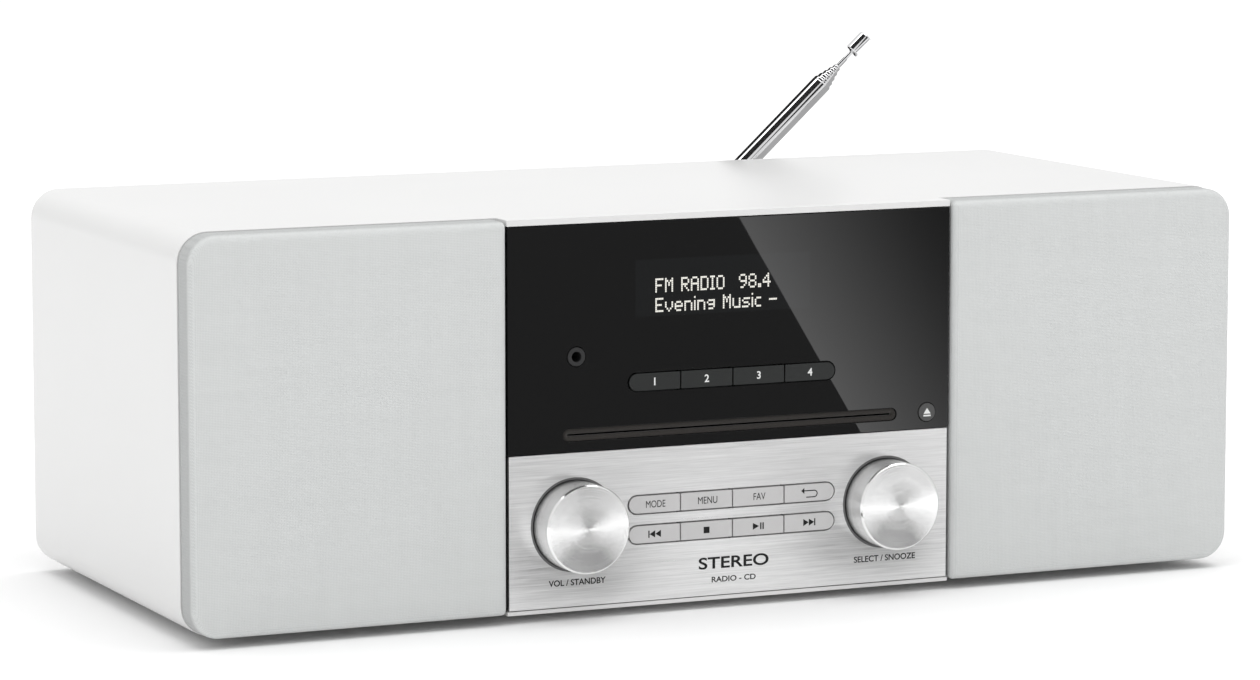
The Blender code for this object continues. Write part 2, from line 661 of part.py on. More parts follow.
def key_board():
    """A board with a switch behind each button, cut away where a disc passes."""
    half = BAFFLE_OPENING_X - BOARD_SIDE_ROOM
    low, high = BAFFLE_OPENING_Z + BOARD_SIDE_ROOM, PRESET_Z + BOARD_RIM
    back = BOARD_Y + BOARD_THICKNESS
    board = add_object("key_board", box_shape((-half, BOARD_Y, low), (half, back, high)), "green_board")
    notch_x = SLOT_WIDTH / 2 + 2 * MM
    notch_z = SLOT_OPENING / 2 + 3 * MM
    cut(board, box_shape(
        (-half - MM, BOARD_Y - MM, SLOT_Z - notch_z), (notch_x, back + MM, SLOT_Z + notch_z),
    ))
    rows = PRESET_Z, UPPER_ROW_Z, LOWER_ROW_Z
    places = [(button_x(i), z) for z in rows for i in range(BUTTONS_IN_ROW)]
    for x, z in places + [(EJECT_X, SLOT_Z)]:
        join(board, disc_shape(x, z, SWITCH_RADIUS, BOARD_Y - SWITCH_HEIGHT, BOARD_Y + MM / 2, 8))


def knob_set(word, side):
    """A knob on a shaft that turns in a plunger, which slides in the encoder when pushed."""
    place = (side * KNOB_X, MODULE_Y, KNOB_Z)
    face, rear = -KNOB_PROUD, KNOB_SINK
    inner = KNOB_RADIUS - KNOB_WALL
    boss = SHAFT_RADIUS + SLIDE_GAP + 1.8 * MM
    bore = SHAFT_RADIUS + SEAT_GAP
    bore_end = face + 4 * MM
    knob = [
        (face, 0), (face, KNOB_RADIUS - KNOB_CHAMFER), (face + KNOB_CHAMFER, KNOB_RADIUS),
        (rear, KNOB_RADIUS),
        (rear, inner), (face + 2.5 * MM, inner), (face + 2.5 * MM, boss), (rear - 0.4 * MM, boss),
        (rear - 0.4 * MM, bore), (bore_end, bore), (bore_end, 0),
    ]
    add_object(f"{word}_knob", turned_shape(knob, 40), "spun_aluminium", place)
    neck_start = CARRIER_Y - MODULE_Y + 0.6 * MM
    neck_end = BOARD_BACKSET - 2.1 * MM
    clip = NECK_RADIUS + 0.7 * MM
    shaft = [
        (bore_end + SEAT_GAP, 0), (bore_end + SEAT_GAP, SHAFT_RADIUS), (neck_start, SHAFT_RADIUS),
        (neck_start, NECK_RADIUS), (neck_end, NECK_RADIUS), (neck_end, clip),
        (neck_end + MM / 2, clip), (neck_end + MM / 2, 0),
    ]
    add_object(f"{word}_shaft", turned_shape(shaft, 20), "steel", place)
    hole = NECK_RADIUS + SEAT_GAP
    body = hole + PLUNGER_WALL
    start, stop = neck_start + SEAT_GAP, neck_end - SEAT_GAP
    plunger = [(start, hole), (start, body), (stop, body), (stop, hole)]
    add_object(f"{word}_plunger", turned_shape(plunger, 20), "black_plastic", place)
    encoder(word, place)


def encoder(word, place):
    """The encoder's square body with a round bush, bored through for the plunger and shaft."""
    bore = SHAFT_RADIUS + SLIDE_GAP
    bush = bore + BUSH_WALL
    bush_front = CARRIER_Y - MODULE_Y + 0.4 * MM
    front = CARRIER_Y - MODULE_Y + CARRIER_THICKNESS + SEAT_GAP
    back = BOARD_BACKSET - SEAT_GAP
    half = ENCODER_SIDE / 2
    body = add_object(
        f"{word}_encoder_body", box_shape((-half, front, -half), (half, back, half)), "zinc_steel", place,
    )
    join(body, disc_shape(0, 0, bush, bush_front, front + MM, 24))
    cut(body, disc_shape(0, 0, bore, bush_front - MM, back + MM, 24))


# Loudspeakers

def speaker(word, side):
    """Basket, cone with its coil, and magnet, all turned about one axis along Y."""
    place = (side * SPEAKER_X, SEAM_Y, SPEAKER_Z)
    front = -SPEAKER_FLANGE
    hole = SPEAKER_HOLE_RADIUS - SLIDE_GAP
    inner = hole - BASKET_WALL
    end_inner = COIL_RADIUS + 5 * MM
    end_hole = COIL_RADIUS + 1.5 * MM
    basket = [
        (front, inner), (front, SPEAKER_RADIUS), (0, SPEAKER_RADIUS), (0, hole), (4 * MM, hole),
        (BASKET_DEPTH, end_inner + BASKET_WALL), (BASKET_DEPTH, end_hole),
        (BASKET_DEPTH - BASKET_WALL, end_hole), (BASKET_DEPTH - BASKET_WALL, end_inner), (3 * MM, inner),
    ]
    add_object(f"speaker_{word}_basket", turned_shape(basket, SPEAKER_SEGMENTS), "zinc_steel", place)
    magnet_front = BASKET_DEPTH + SEAT_GAP
    magnet_back = magnet_front + MAGNET_DEPTH
    groove = magnet_front + 0.7 * MAGNET_DEPTH
    pole = COIL_RADIUS - COIL_WALL - SLIDE_GAP
    magnet = [
        (magnet_front, 0), (magnet_front, pole), (groove, pole), (groove, COIL_RADIUS + SLIDE_GAP),
        (magnet_front, COIL_RADIUS + SLIDE_GAP), (magnet_front, MAGNET_RADIUS),
        (magnet_back, MAGNET_RADIUS), (magnet_back, 0),
    ]
    add_object(f"speaker_{word}_magnet", turned_shape(magnet, SPEAKER_SEGMENTS), "zinc_steel", place)
    speaker_cone(word, place, magnet_front + 0.3 * MAGNET_DEPTH)


def speaker_cone(word, place, coil_end):
    """Dust cap, cone, half-round surround and coil former as one thin moving shell."""
    thickness = 1 * MM
    roll = 1.7 * MM
    neck_y = 14 * MM
    cone_radius = SPEAKER_HOLE_RADIUS - SLIDE_GAP - BASKET_WALL - CONE_GAP
    roll_centre = cone_radius - roll
    cone_edge = roll_centre - roll
    surround = arc((0, roll_centre), roll, 270, 90, 3)
    inner_roll = arc((0, roll_centre), roll - 0.7 * MM, 90, 270, 3)
    profile = [
        (neck_y - 3 * MM, 0), (neck_y - 2.4 * MM, COIL_RADIUS / 2),
        (neck_y - 0.3 * MM, COIL_RADIUS - MM / 2),
    ]
    profile += surround
    profile += [(0.8 * MM, cone_radius), (0.8 * MM, roll_centre + roll - 0.7 * MM)]
    profile += inner_roll
    profile += [
        (thickness, cone_edge + 0.5 * MM), (neck_y + thickness, COIL_RADIUS), (coil_end, COIL_RADIUS),
        (coil_end, COIL_RADIUS - COIL_WALL), (neck_y + thickness, COIL_RADIUS - COIL_WALL),
        (neck_y - 1.4 * MM, COIL_RADIUS / 2), (neck_y - 2 * MM, 0),
    ]
    add_object(f"speaker_{word}_cone", turned_shape(profile, SPEAKER_SEGMENTS), "paper_cone", place)


# Disc drive

def drive_chassis():
    """An open tray on four legs, low at the front, with ribs that guide the laser sled."""
    half = DRIVE_WIDTH / 2
    floor = SLOT_Z - DRIVE_FLOOR
    rim = SLOT_Z + DRIVE_TOP
    wall = DRIVE_WALL
    back = DRIVE_Y + DRIVE_DEPTH
    chassis = add_object("cd_chassis", box_shape((-half, DRIVE_Y, floor), (half, back, rim)), "zinc_steel")
    inside = half - wall
    front_wall_top = SLOT_Z - 2 * ROLLER_RADIUS - 2 * MM
    roller_y, roller_z = roller_place()
    cut(
        chassis,
        box_shape((-inside, DRIVE_Y + wall, floor + wall), (inside, back - wall, rim + MM)),
        box_shape((-inside, DRIVE_Y - MM, front_wall_top), (inside, DRIVE_Y + 2 * wall, rim + MM)),
    )
    journal = turned_shape([(-half - MM, 0), (-half - MM, JOURNAL_RADIUS + SLIDE_GAP),
                            (half + MM, JOURNAL_RADIUS + SLIDE_GAP), (half + MM, 0)], 16, "X")
    bmesh.ops.translate(journal, verts=journal.verts, vec=(0, roller_y, roller_z))
    shaft_hole = turned_shape([(-MM, 0), (-MM, SPINDLE_RADIUS + SLIDE_GAP),
                               (wall + MM, SPINDLE_RADIUS + SLIDE_GAP), (wall + MM, 0)], 16, "Z")
    bmesh.ops.translate(shaft_hole, verts=shaft_hole.verts, vec=(0, SPINDLE_Y, floor))
    cut(chassis, journal, shaft_hole)
    leg = 6 * MM
    leg_bottom = BASE_Z + CABINET_WALL + SEAT_GAP
    for x in (-half, half - leg):
        for y in (DRIVE_Y + 8 * MM, back - leg - 8 * MM):
            join(chassis, box_shape((x, y, leg_bottom), (x + leg, y + leg, floor + wall / 2)))
    rib_x = SPINDLE_RADIUS + 6 * MM
    rib_top = sled_bottom() - SEAT_GAP
    for y in (SPINDLE_Y - SLED_SIZE.y / 3, SPINDLE_Y + SLED_SIZE.y / 3):
        join(chassis, box_shape((rib_x, y - wall, floor + wall / 2), (inside - MM, y + wall, rib_top)))


def roller_place():
    """The roller's axis: just under the disc, behind the drive's front."""
    return DRIVE_Y + ROLLER_BACKSET, SLOT_Z - DISC_THICKNESS / 2 - SEAT_GAP - ROLLER_RADIUS


def sled_bottom():
    return SLOT_Z - DRIVE_FLOOR + DRIVE_WALL + 2.2 * MM


def drive_moving_parts():
    roller_half = SLOT_WIDTH / 2 - 3 * MM
    journal_half = DRIVE_WIDTH / 2 - 0.2 * MM
    roller = [
        (-journal_half, 0), (-journal_half, JOURNAL_RADIUS), (-roller_half, JOURNAL_RADIUS),
        (-roller_half, ROLLER_RADIUS), (0, ROLLER_RADIUS - 0.4 * MM), (roller_half, ROLLER_RADIUS),
        (roller_half, JOURNAL_RADIUS), (journal_half, JOURNAL_RADIUS), (journal_half, 0),
    ]
    add_object("loading_roller", turned_shape(roller, 20, "X"), "rubber", (0, *roller_place()))
    under_disc = -DISC_THICKNESS / 2 - SEAT_GAP
    plate = under_disc - 2 * MM
    bottom = -DRIVE_FLOOR - 0.2 * MM
    spindle = [
        (bottom, 0), (bottom, SPINDLE_RADIUS), (plate, SPINDLE_RADIUS), (plate, TURNTABLE_RADIUS),
        (under_disc, TURNTABLE_RADIUS), (under_disc, HUB_RADIUS), (MM, HUB_RADIUS),
        (2 * MM, HUB_RADIUS - MM), (2 * MM, 0),
    ]
    add_object("disc_spindle", turned_shape(spindle, 24, "Z"), "black_plastic", (0, SPINDLE_Y, SLOT_Z))
    half = SLED_SIZE / 2
    low = sled_bottom() + half.z
    sled = add_object("laser_sled", box_shape(-half, half), "black_plastic", (SLED_X, SPINDLE_Y, low))
    lens = 4 * MM
    lens_top = half.z + 1.2 * MM
    join(sled, turned_shape([(0, 0), (0, lens), (lens_top, lens), (lens_top, 0)], 16, "Z"))


def drive_top_plate():
    half = DRIVE_WIDTH / 2
    low = SLOT_Z + DRIVE_TOP + SEAT_GAP
    back = DRIVE_Y + DRIVE_DEPTH
    sheet = box_shape((-half, DRIVE_Y, low), (half, back, low + DRIVE_WALL))
    plate = add_object("cd_top_plate", sheet, "zinc_steel")
    above = DRIVE_WALL + MM
    hole = turned_shape([(-MM, 0), (-MM, CLAMP_RADIUS), (above, CLAMP_RADIUS), (above, 0)], 24, "Z")
    bmesh.ops.translate(hole, verts=hole.verts, vec=(0, SPINDLE_Y, low))
    cut(plate, hole)


# Boards and sockets

def circuit_board(name, low, high, blocks):
    """A board on four posts, with blocks for its larger components, at (x, y, width, depth, height)."""
    board = add_object(name, box_shape(low, high), "green_board")
    post = 2.5 * MM
    post_bottom = BASE_Z + CABINET_WALL + SEAT_GAP
    for x in (low.x + 2 * post, high.x - 2 * post):
        for y in (low.y + 2 * post, high.y - 2 * post):
            join(board, box_shape((x - post, y - post, post_bottom), (x + post, y + post, low.z + MM)))
    for x, y, width, depth, height in blocks:
        corner = Vector((low.x + x * MM, low.y + y * MM, high.z - MM / 2))
        join(board, box_shape(corner, corner + Vector((width, depth, height)) * MM))


def boards():
    level = BASE_Z + CABINET_WALL + 9 * MM
    drive_inside = DRIVE_WIDTH / 2 - 12 * MM
    circuit_board(
        "main_board",
        Vector((-drive_inside, DRIVE_Y + 10 * MM, level)),
        Vector((drive_inside, DRIVE_Y + DRIVE_DEPTH - 24 * MM, level + BOARD_THICKNESS)),
        [(16, 20, 32, 24, 6), (60, 30, 18, 18, 3), (90, 60, 14, 26, 12), (24, 66, 26, 16, 8)],
    )
    outer = HALF_CABINET - CABINET_WALL - 12 * MM
    circuit_board(
        "power_board",
        Vector((-outer, REAR_Y - 90 * MM, level)),
        Vector((-outer + 84 * MM, REAR_Y - 24 * MM, level + BOARD_THICKNESS)),
        [(8, 12, 34, 28, 24), (52, 14, 14, 14, 20), (52, 38, 20, 8, 14)],
    )


def mains_inlet():
    """A housing with a two-pin recess, flush with the rear panel's outer face."""
    z = BASE_Z + INLET_HEIGHT
    back = REAR_Y - REAR_PANEL_BACKSET
    front = back - INLET_SIZE.y
    half_x, half_z = INLET_SIZE.x / 2, INLET_SIZE.z / 2
    outline = rounded_outline(INLET_X - half_x, z - half_z, INLET_X + half_x, z + half_z, MM, 2)
    inlet = add_object("mains_inlet", prism_shape(outline, front, back), "black_plastic")
    floor = front + 2 * MM
    cut(inlet, prism_shape(slot_outline(INLET_X, z, 18 * MM, 9.5 * MM), floor, back + MM))
    for side in (-1, 1):
        join(inlet, disc_shape(INLET_X + side * 4.3 * MM, z, 1.2 * MM, floor - MM / 2, back - 2 * MM, 12))


def audio_socket_block():
    z = BASE_Z + AUDIO_HEIGHT
    back = REAR_Y - REAR_PANEL_BACKSET
    front = back - AUDIO_SIZE.y
    half_x, half_z = AUDIO_SIZE.x / 2, AUDIO_SIZE.z / 2
    outline = rounded_outline(AUDIO_X - half_x, z - half_z, AUDIO_X + half_x, z + half_z, MM, 2)
    block = add_object("audio_socket_block", prism_shape(outline, front, back), "black_plastic")
    for offset in (-1, 1):
        x = AUDIO_X + offset * AUDIO_SIZE.x / 4
        cut(block, disc_shape(x, z, SOCKET_BORE, front + MM, back + MM, 16))


# Antenna

def antenna_swivel():
    """A turret that turns in the rear panel, with a fork and a pin for the first tube."""
    panel_front = REAR_Y - REAR_PANEL_BACKSET - REAR_PANEL_THICKNESS
    flange_back = panel_front - SEAT_GAP - ANTENNA_Y
    turret_front = REAR_Y + SEAT_GAP - ANTENNA_Y
    turret_back = -FORK_REACH - 0.3 * MM
    profile = [
        (flange_back - 2 * MM, 0), (flange_back - 2 * MM, SWIVEL_NECK + 3 * MM),
        (flange_back, SWIVEL_NECK + 3 * MM), (flange_back, SWIVEL_NECK), (turret_front, SWIVEL_NECK),
        (turret_front, SWIVEL_RADIUS), (turret_back, SWIVEL_RADIUS), (turret_back, 0),
    ]
    pivot = bpy.data.objects.new("antenna_pivot", None)
    bpy.context.scene.collection.objects.link(pivot)
    pivot.location = (ANTENNA_X, ANTENNA_Y, ANTENNA_Z)
    pivot.rotation_euler = (0, -ANTENNA_ANGLE, 0)
    swivel = add_object("antenna_swivel_block", turned_shape(profile, 24), "chrome", parent=pivot)
    slot = TONGUE_THICKNESS / 2 + SEAT_GAP
    reach, half = FORK_REACH, FORK_HALF_WIDTH
    join(swivel, box_shape((-reach, turret_back - MM, -half), (reach, reach, half)))
    beyond = reach + MM
    cut(swivel, box_shape((-beyond, turret_back + 0.2 * MM, -slot), (beyond, beyond, slot)))
    join(swivel, turned_shape(
        [(-slot - MM, 0), (-slot - MM, PIN_RADIUS), (slot + MM, PIN_RADIUS), (slot + MM, 0)], 12, "Z",
    ))
    return pivot


def antenna_tubes(pivot):
    """Tubes inside each other along local X. The first ends in a tongue on the fork's pin."""
    start = ANTENNA_BASE
    end = ANTENNA_OUTER_END
    outer = ANTENNA_RADIUS
    for number in range(1, ANTENNA_TUBES + 1):
        inner = outer - ANTENNA_WALL
        taper = inner + 0.05 * MM
        if number == 1:
            floor = start + 3 * MM
            profile = [
                (start, 0), (start, outer), (end - MM, outer), (end, taper), (end, inner),
                (floor, inner), (floor, 0),
            ]
        else:
            profile = [
                (start, inner), (start, outer), (end - MM, outer), (end, taper), (end, inner),
            ]
        tube = add_object(f"antenna_tube_{number}", turned_shape(profile, 16, "X"), "chrome", parent=pivot)
        if number == 1:
            antenna_tongue(tube)
            start = floor
        start += MM
        end += ANTENNA_STEP
        outer = inner - TUBE_GAP
    rod_end = end - ANTENNA_STEP + ROD_SHOWN
    rod = [
        (start, 0), (start, outer), (rod_end, outer), (rod_end, TIP_RADIUS - 0.3 * MM),
        (rod_end + 0.3 * MM, TIP_RADIUS), (rod_end + TIP_LENGTH - 0.3 * MM, TIP_RADIUS),
        (rod_end + TIP_LENGTH, TIP_RADIUS - 0.3 * MM), (rod_end + TIP_LENGTH, 0),
    ]
    add_object("antenna_rod", turned_shape(rod, 16, "X"), "chrome", parent=pivot)


def antenna_tongue(tube):
    """A flat tongue with a round end and a pin hole, joined to the foot of the first tube."""
    outline = arc((0, 0), TONGUE_RADIUS, 90, 270, 8)
    outline += [(ANTENNA_BASE + MM, -TONGUE_RADIUS), (ANTENNA_BASE + MM, TONGUE_RADIUS)]
    half = TONGUE_THICKNESS / 2
    tongue = prism_shape(outline, -half, half)
    bmesh.ops.rotate(tongue, verts=tongue.verts, matrix=Matrix.Rotation(-pi / 2, 3, "X"))
    join(tube, tongue)
    radius = PIN_RADIUS + SEAT_GAP
    beyond = half + MM
    cut(tube, turned_shape([(-beyond, 0), (-beyond, radius), (beyond, radius), (beyond, 0)], 16, "Z"))


def main():
    clear_scene()
    cabinet_shell()
    front_baffle()
    rear_panel()
    feet()
    for word, side in (("left", -1), ("right", 1)):
        grille(word, side)
        speaker(word, side)
    display_window()
    control_panel()
    centre_carrier()
    display_module()
    headphone_socket()
    button_rows()
    eject_button()
    key_board()
    for word, side in (("volume", -1), ("select", 1)):
        knob_set(word, side)
    drive_chassis()
    drive_moving_parts()
    drive_top_plate()
    boards()
    mains_inlet()
    audio_socket_block()
    antenna_tubes(antenna_swivel())


main()
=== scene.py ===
import json
from math import cos, pi, radians, sin

import bmesh
import bpy
import numpy as np
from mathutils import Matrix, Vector


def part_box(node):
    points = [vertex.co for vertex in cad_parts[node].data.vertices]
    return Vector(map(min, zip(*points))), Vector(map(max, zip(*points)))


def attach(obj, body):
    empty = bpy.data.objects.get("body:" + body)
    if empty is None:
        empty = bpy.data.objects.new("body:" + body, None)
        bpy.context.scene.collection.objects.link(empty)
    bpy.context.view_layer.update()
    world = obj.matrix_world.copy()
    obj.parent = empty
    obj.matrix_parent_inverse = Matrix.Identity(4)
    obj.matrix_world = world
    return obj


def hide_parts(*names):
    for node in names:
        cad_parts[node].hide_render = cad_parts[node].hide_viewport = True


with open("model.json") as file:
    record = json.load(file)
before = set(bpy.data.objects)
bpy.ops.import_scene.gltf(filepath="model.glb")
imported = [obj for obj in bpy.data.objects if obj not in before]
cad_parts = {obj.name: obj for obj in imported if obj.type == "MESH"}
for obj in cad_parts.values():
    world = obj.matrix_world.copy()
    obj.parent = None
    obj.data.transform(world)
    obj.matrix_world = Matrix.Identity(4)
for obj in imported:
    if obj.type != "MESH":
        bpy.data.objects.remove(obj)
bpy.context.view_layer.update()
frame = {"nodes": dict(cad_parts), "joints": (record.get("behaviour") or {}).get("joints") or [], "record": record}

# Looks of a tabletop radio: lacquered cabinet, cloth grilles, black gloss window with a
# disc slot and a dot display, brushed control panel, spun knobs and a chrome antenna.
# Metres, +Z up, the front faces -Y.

MM = 0.001

# Places and names that come from the frame
RECORD = frame["record"]
JOINTS = {joint["name"]: joint for joint in frame["joints"]}
NODE_BODY = {node: body for body, nodes in RECORD["behaviour"]["bodies"].items() for node in nodes}
NODE_SLOT = {part["node"]: part["material_slot"] for part in RECORD["subparts"]}
WINDOW_LOW, WINDOW_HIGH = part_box("display_window")
PANEL_LOW, PANEL_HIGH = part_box("control_panel")
REAR_LOW, REAR_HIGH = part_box("rear_panel")
GRILLE_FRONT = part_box("grille_cloth_left")[0].y
PIVOT = Vector(JOINTS["antenna_fold"]["pos_m"])
ALONG = Vector(JOINTS["antenna_rod_slide"]["axis"]).normalized()
FOLD_AXIS = Vector(JOINTS["antenna_fold"]["axis"]).normalized()

# Cloth and grilles
CLOTH_THICKNESS = 0.5 * MM
CLOTH_SAG = 0.2 * MM
GRILLE_CORNER = 10.1 * MM
GRILLE_INNER_CORNER = 2 * MM
GRILLE_EDGE = 3 * MM
THREAD_PITCH = 0.55 * MM

# Window
FILTER_MIDDLE = -3.5 * MM, 113.8 * MM
FILTER_HALF = 33.5 * MM, 9.9 * MM
SLOT_HALF = 64.1 * MM
SLOT_RISE = 2.15 * MM
SLIT_RISE = 0.35 * MM
DISPLAY_LEFT = -29.5 * MM
DISPLAY_TOPS = 117 * MM, 110.2 * MM
DISPLAY_DOT = Vector((0.613, 0.71)) * MM
DOT_FILL = 0.86

# Knobs
KNOBS = "volume", "select"
KNOB_CHAMFER = 0.6 * MM
KNOB_WALL = 1.8 * MM
KNOB_FACE_WALL = 2.5 * MM
KNOB_BOSS = 5.1 * MM
KNOB_BORE = 3.2 * MM
KNOB_BORE_FLOOR = 4 * MM
GROOVE_LEAN = 1.5
GROOVES_PER_METRE = 30000
BANDS_PER_METRE = 1500
RING_GAP = 0.15 * MM
RING_WIDTH = 0.83 * MM

# Antenna
TUBES = 5
TUBE_WALL = 0.38 * MM
TUBE_START = 8 * MM
ROD_RADIUS = 0.9 * MM
TIP_LENGTH = 8.8 * MM

# Printing
INK_THICKNESS = 0.03 * MM


# ---------------------------------------------------------------- shader maths

class Value:
    """A shader socket. Arithmetic on it adds Math nodes."""

    def __init__(self, finish, socket):
        self.finish = finish
        self.socket = socket

    def __add__(self, other):
        return self.finish.math("ADD", self, other)

    def __sub__(self, other):
        return self.finish.math("SUBTRACT", self, other)

    def __rsub__(self, other):
        return self.finish.math("SUBTRACT", other, self)

    def __mul__(self, other):
        return self.finish.math("MULTIPLY", self, other)

    def __rtruediv__(self, other):
        return self.finish.math("DIVIDE", other, self)

    def __pow__(self, other):
        return self.finish.math("POWER", self, other)

    def __gt__(self, other):
        return self.finish.math("GREATER_THAN", self, other)

    def __lt__(self, other):
        return self.finish.math("LESS_THAN", self, other)

    def __abs__(self):
        return self.finish.math("ABSOLUTE", self)

    __radd__ = __add__
    __rmul__ = __mul__

    def sine(self):
        return self.finish.math("SINE", self)

    def limited(self):
        """Kept between 0 and 1."""
        return self.finish.node("ShaderNodeClamp", {}, {0: self})


class Finish:
    """A Principled material. Constants are set on the shader's own sockets."""

    def __init__(self, name, **constants):
        self.name = name
        self.material = bpy.data.materials.new(name)
        self.material.use_nodes = True
        self.tree = self.material.node_tree
        self.shader = self.tree.nodes["Principled BSDF"]
        self.sockets = {socket.name.lower(): socket for socket in self.shader.inputs}
        for socket, value in constants.items():
            self.sockets[socket.replace("_", " ")].default_value = value

    def node(self, kind, settings, inputs, output=0):
        """Adds a node: its settings first, then the values or links of its sockets."""
        node = self.tree.nodes.new(kind)
        for name, value in settings.items():
            setattr(node, name, value)
        for name, value in inputs.items():
            if isinstance(value, Value):
                self.tree.links.new(value.socket, node.inputs[name])
            else:
                node.inputs[name].default_value = value
        return Value(self, node.outputs[output])

    def math(self, operation, *operands):
        return self.node("ShaderNodeMath", {"operation": operation}, dict(enumerate(operands)))

    def position(self, scale=(1, 1, 1), location=(0, 0, 0)):
        """Object coordinates, moved and stretched."""
        place = self.node("ShaderNodeTexCoord", {}, {}, "Object")
        return self.node(
            "ShaderNodeMapping", {}, {"Vector": place, "Scale": scale, "Location": location},
        )

    def axes(self):
        place = self.node("ShaderNodeTexCoord", {}, {}, "Object")
        return [self.node("ShaderNodeSeparateXYZ", {}, {0: place}, axis) for axis in "XYZ"]

    def noise(self, scale, detail=2.0, location=(0, 0, 0)):
        """Noise whose scale is in cycles per metre, alike or different along X, Y and Z."""
        if not isinstance(scale, tuple):
            scale = (scale,) * 3
        inputs = {"Vector": self.position(scale, location), "Scale": 1.0, "Detail": detail}
        return self.node("ShaderNodeTexNoise", {}, inputs)

    def tint(self, factor, low, high):
        """From the low colour to the high one."""
        inputs = {0: factor, 6: low if isinstance(low, Value) else (*low, 1), 7: (*high, 1)}
        return self.node("ShaderNodeMix", {"data_type": "RGBA"}, inputs, 2)

    def bump(self, height, distance):
        """A surface that rises by the distance where the height is 1."""
        inputs = {"Height": height, "Distance": distance, "Strength": 1.0}
        return self.node("ShaderNodeBump", {}, inputs)

    def vector_math(self, operation, first, second=None, **inputs):
        """Vector arithmetic on one or two vectors."""
        inputs[0] = first
        if second:
            inputs[1] = second
        return self.node("ShaderNodeVectorMath", {"operation": operation}, inputs)

    def feed(self, **values):
        """Links values to the shader's sockets."""
        for socket, value in values.items():
            self.tree.links.new(value.socket, self.sockets[socket.replace("_", " ")])
        return self


# ---------------------------------------------------------------- finishes

def cabinet_lacquer():
    """White lacquer with a faint orange peel over a flat board."""
    finish = Finish("cabinet_lacquer", coat_weight=0.3, coat_roughness=0.3)
    cloud = finish.noise(18, 3)
    peel = finish.noise(520, 2)
    return finish.feed(
        base_color=finish.tint(cloud, (0.73, 0.73, 0.726), (0.76, 0.76, 0.756)),
        roughness=0.3 + cloud * 0.08,
        normal=finish.bump(peel, 0.012 * MM),
    )


def grille_cloth():
    """Plain weave: at each crossing either the upright or the lying thread is on top. Painted
    shade darkens the cloth's colour where it is pulled around the frame's edge."""
    finish = Finish("grille_cloth", specular_ior_level=0.25, sheen_weight=0.15, sheen_roughness=0.6)
    x, y, z = finish.axes()
    turn = pi / THREAD_PITCH
    upright = ((x + y) * turn).sine()
    lying = ((z + y) * turn).sine()
    over = (upright * lying) > 0
    height = over * abs(upright) + (1 - over) * abs(lying)
    slub = finish.noise((260, 260, 30), 3) * 0.5 + finish.noise((30, 260, 260), 3) * 0.5
    fibre = finish.noise(5200, 3)
    shade = (height * 0.55 + slub * 0.3 + fibre * 0.15).limited()
    front = finish.tint(shade, (0.53, 0.544, 0.54), (0.75, 0.764, 0.76))
    # Painted shade: the colour of the cloth's sides around the frame is darkened towards grey
    painted_wrap_shade = ((y - (GRILLE_FRONT + 1.2 * MM)) * (1 / (1.6 * MM))).limited()
    return finish.feed(
        base_color=finish.tint(painted_wrap_shade * 0.42, front, (0.2, 0.205, 0.205)),
        roughness=0.86 + fibre * 0.1,
        normal=finish.bump(height * 0.7 + fibre * 0.3, 0.09 * MM),
    )


def window_gloss():
    """Polished black sheet. The display's filter shows as a slightly paler rectangle."""
    finish = Finish("window_gloss", specular_ior_level=0.5)
    x, _, z = finish.axes()
    across, up = abs(x - FILTER_MIDDLE[0]), abs(z - FILTER_MIDDLE[1])
    inside = (across < FILTER_HALF[0]) * (up < FILTER_HALF[1])
    haze = finish.noise(35, 4)
    return finish.feed(
        base_color=finish.tint(inside, (0.0035, 0.0035, 0.0036), (0.0065, 0.007, 0.0074)),
        roughness=0.004 + haze * 0.01,
        normal=finish.bump(finish.noise(60, 1), 0.0015 * MM),
    )


def panel_aluminium():
    """Aluminium brushed along X, with long fine scratches."""
    finish = Finish("panel_aluminium", metallic=1.0)
    fine = finish.noise((60, 60, 2300), 3)
    long = finish.noise((12, 20, 900), 3, (0.3, 0, 0.1))
    streak = ((fine * 0.6 + long * 0.4 - 0.5) * 2.4 + 0.5).limited()
    return finish.feed(
        base_color=finish.tint(streak, (0.63, 0.63, 0.63), (0.9, 0.9, 0.9)),
        roughness=0.26 + streak * 0.16,
        normal=finish.bump(streak, 0.02 * MM),
    )


def knob_aluminium(word, low, high):
    """Spun face and satin side. Grooves around the axis lean the surface to and fro along the
    profile, which fans the light out. The chamfer is polished."""
    finish = Finish(f"knob_aluminium_{word}", metallic=1.0)
    centre, radius, face = (low + high) / 2, (high.x - low.x) / 2, low.y
    x, y, z = finish.axes()
    across, up = x - centre.x, z - centre.z
    distance = (across * across + up * up) ** 0.5
    grooves, bands = (
        finish.node("ShaderNodeTexNoise", {"noise_dimensions": "1D"}, {
            "W": (distance + y) * per_metre, "Scale": 1.0, "Detail": 2.0,
        }) for per_metre in (GROOVES_PER_METRE, BANDS_PER_METRE)
    )
    chamfer = (distance > radius - KNOB_CHAMFER * 1.1) * (y < face + KNOB_CHAMFER)
    lean = (grooves - 0.5) * GROOVE_LEAN * (1 - chamfer)
    around = finish.node("ShaderNodeCombineXYZ", {}, {0: up, 1: 0.0, 2: across * -1})
    around = finish.node(
        "ShaderNodeVectorTransform", {"convert_from": "OBJECT", "convert_to": "WORLD"}, {0: around},
    )
    flat = finish.node("ShaderNodeNewGeometry", {}, {}, "Normal")
    along = finish.vector_math("NORMALIZE", finish.vector_math("CROSS_PRODUCT", flat, around))
    leaning = finish.vector_math("ADD", flat, finish.vector_math("SCALE", along, Scale=lean))
    return finish.feed(
        base_color=finish.tint(bands, (0.9, 0.9, 0.9), (0.98, 0.98, 0.98)),
        roughness=0.14 + bands * 0.05,
        normal=finish.vector_math("NORMALIZE", leaning),
    )


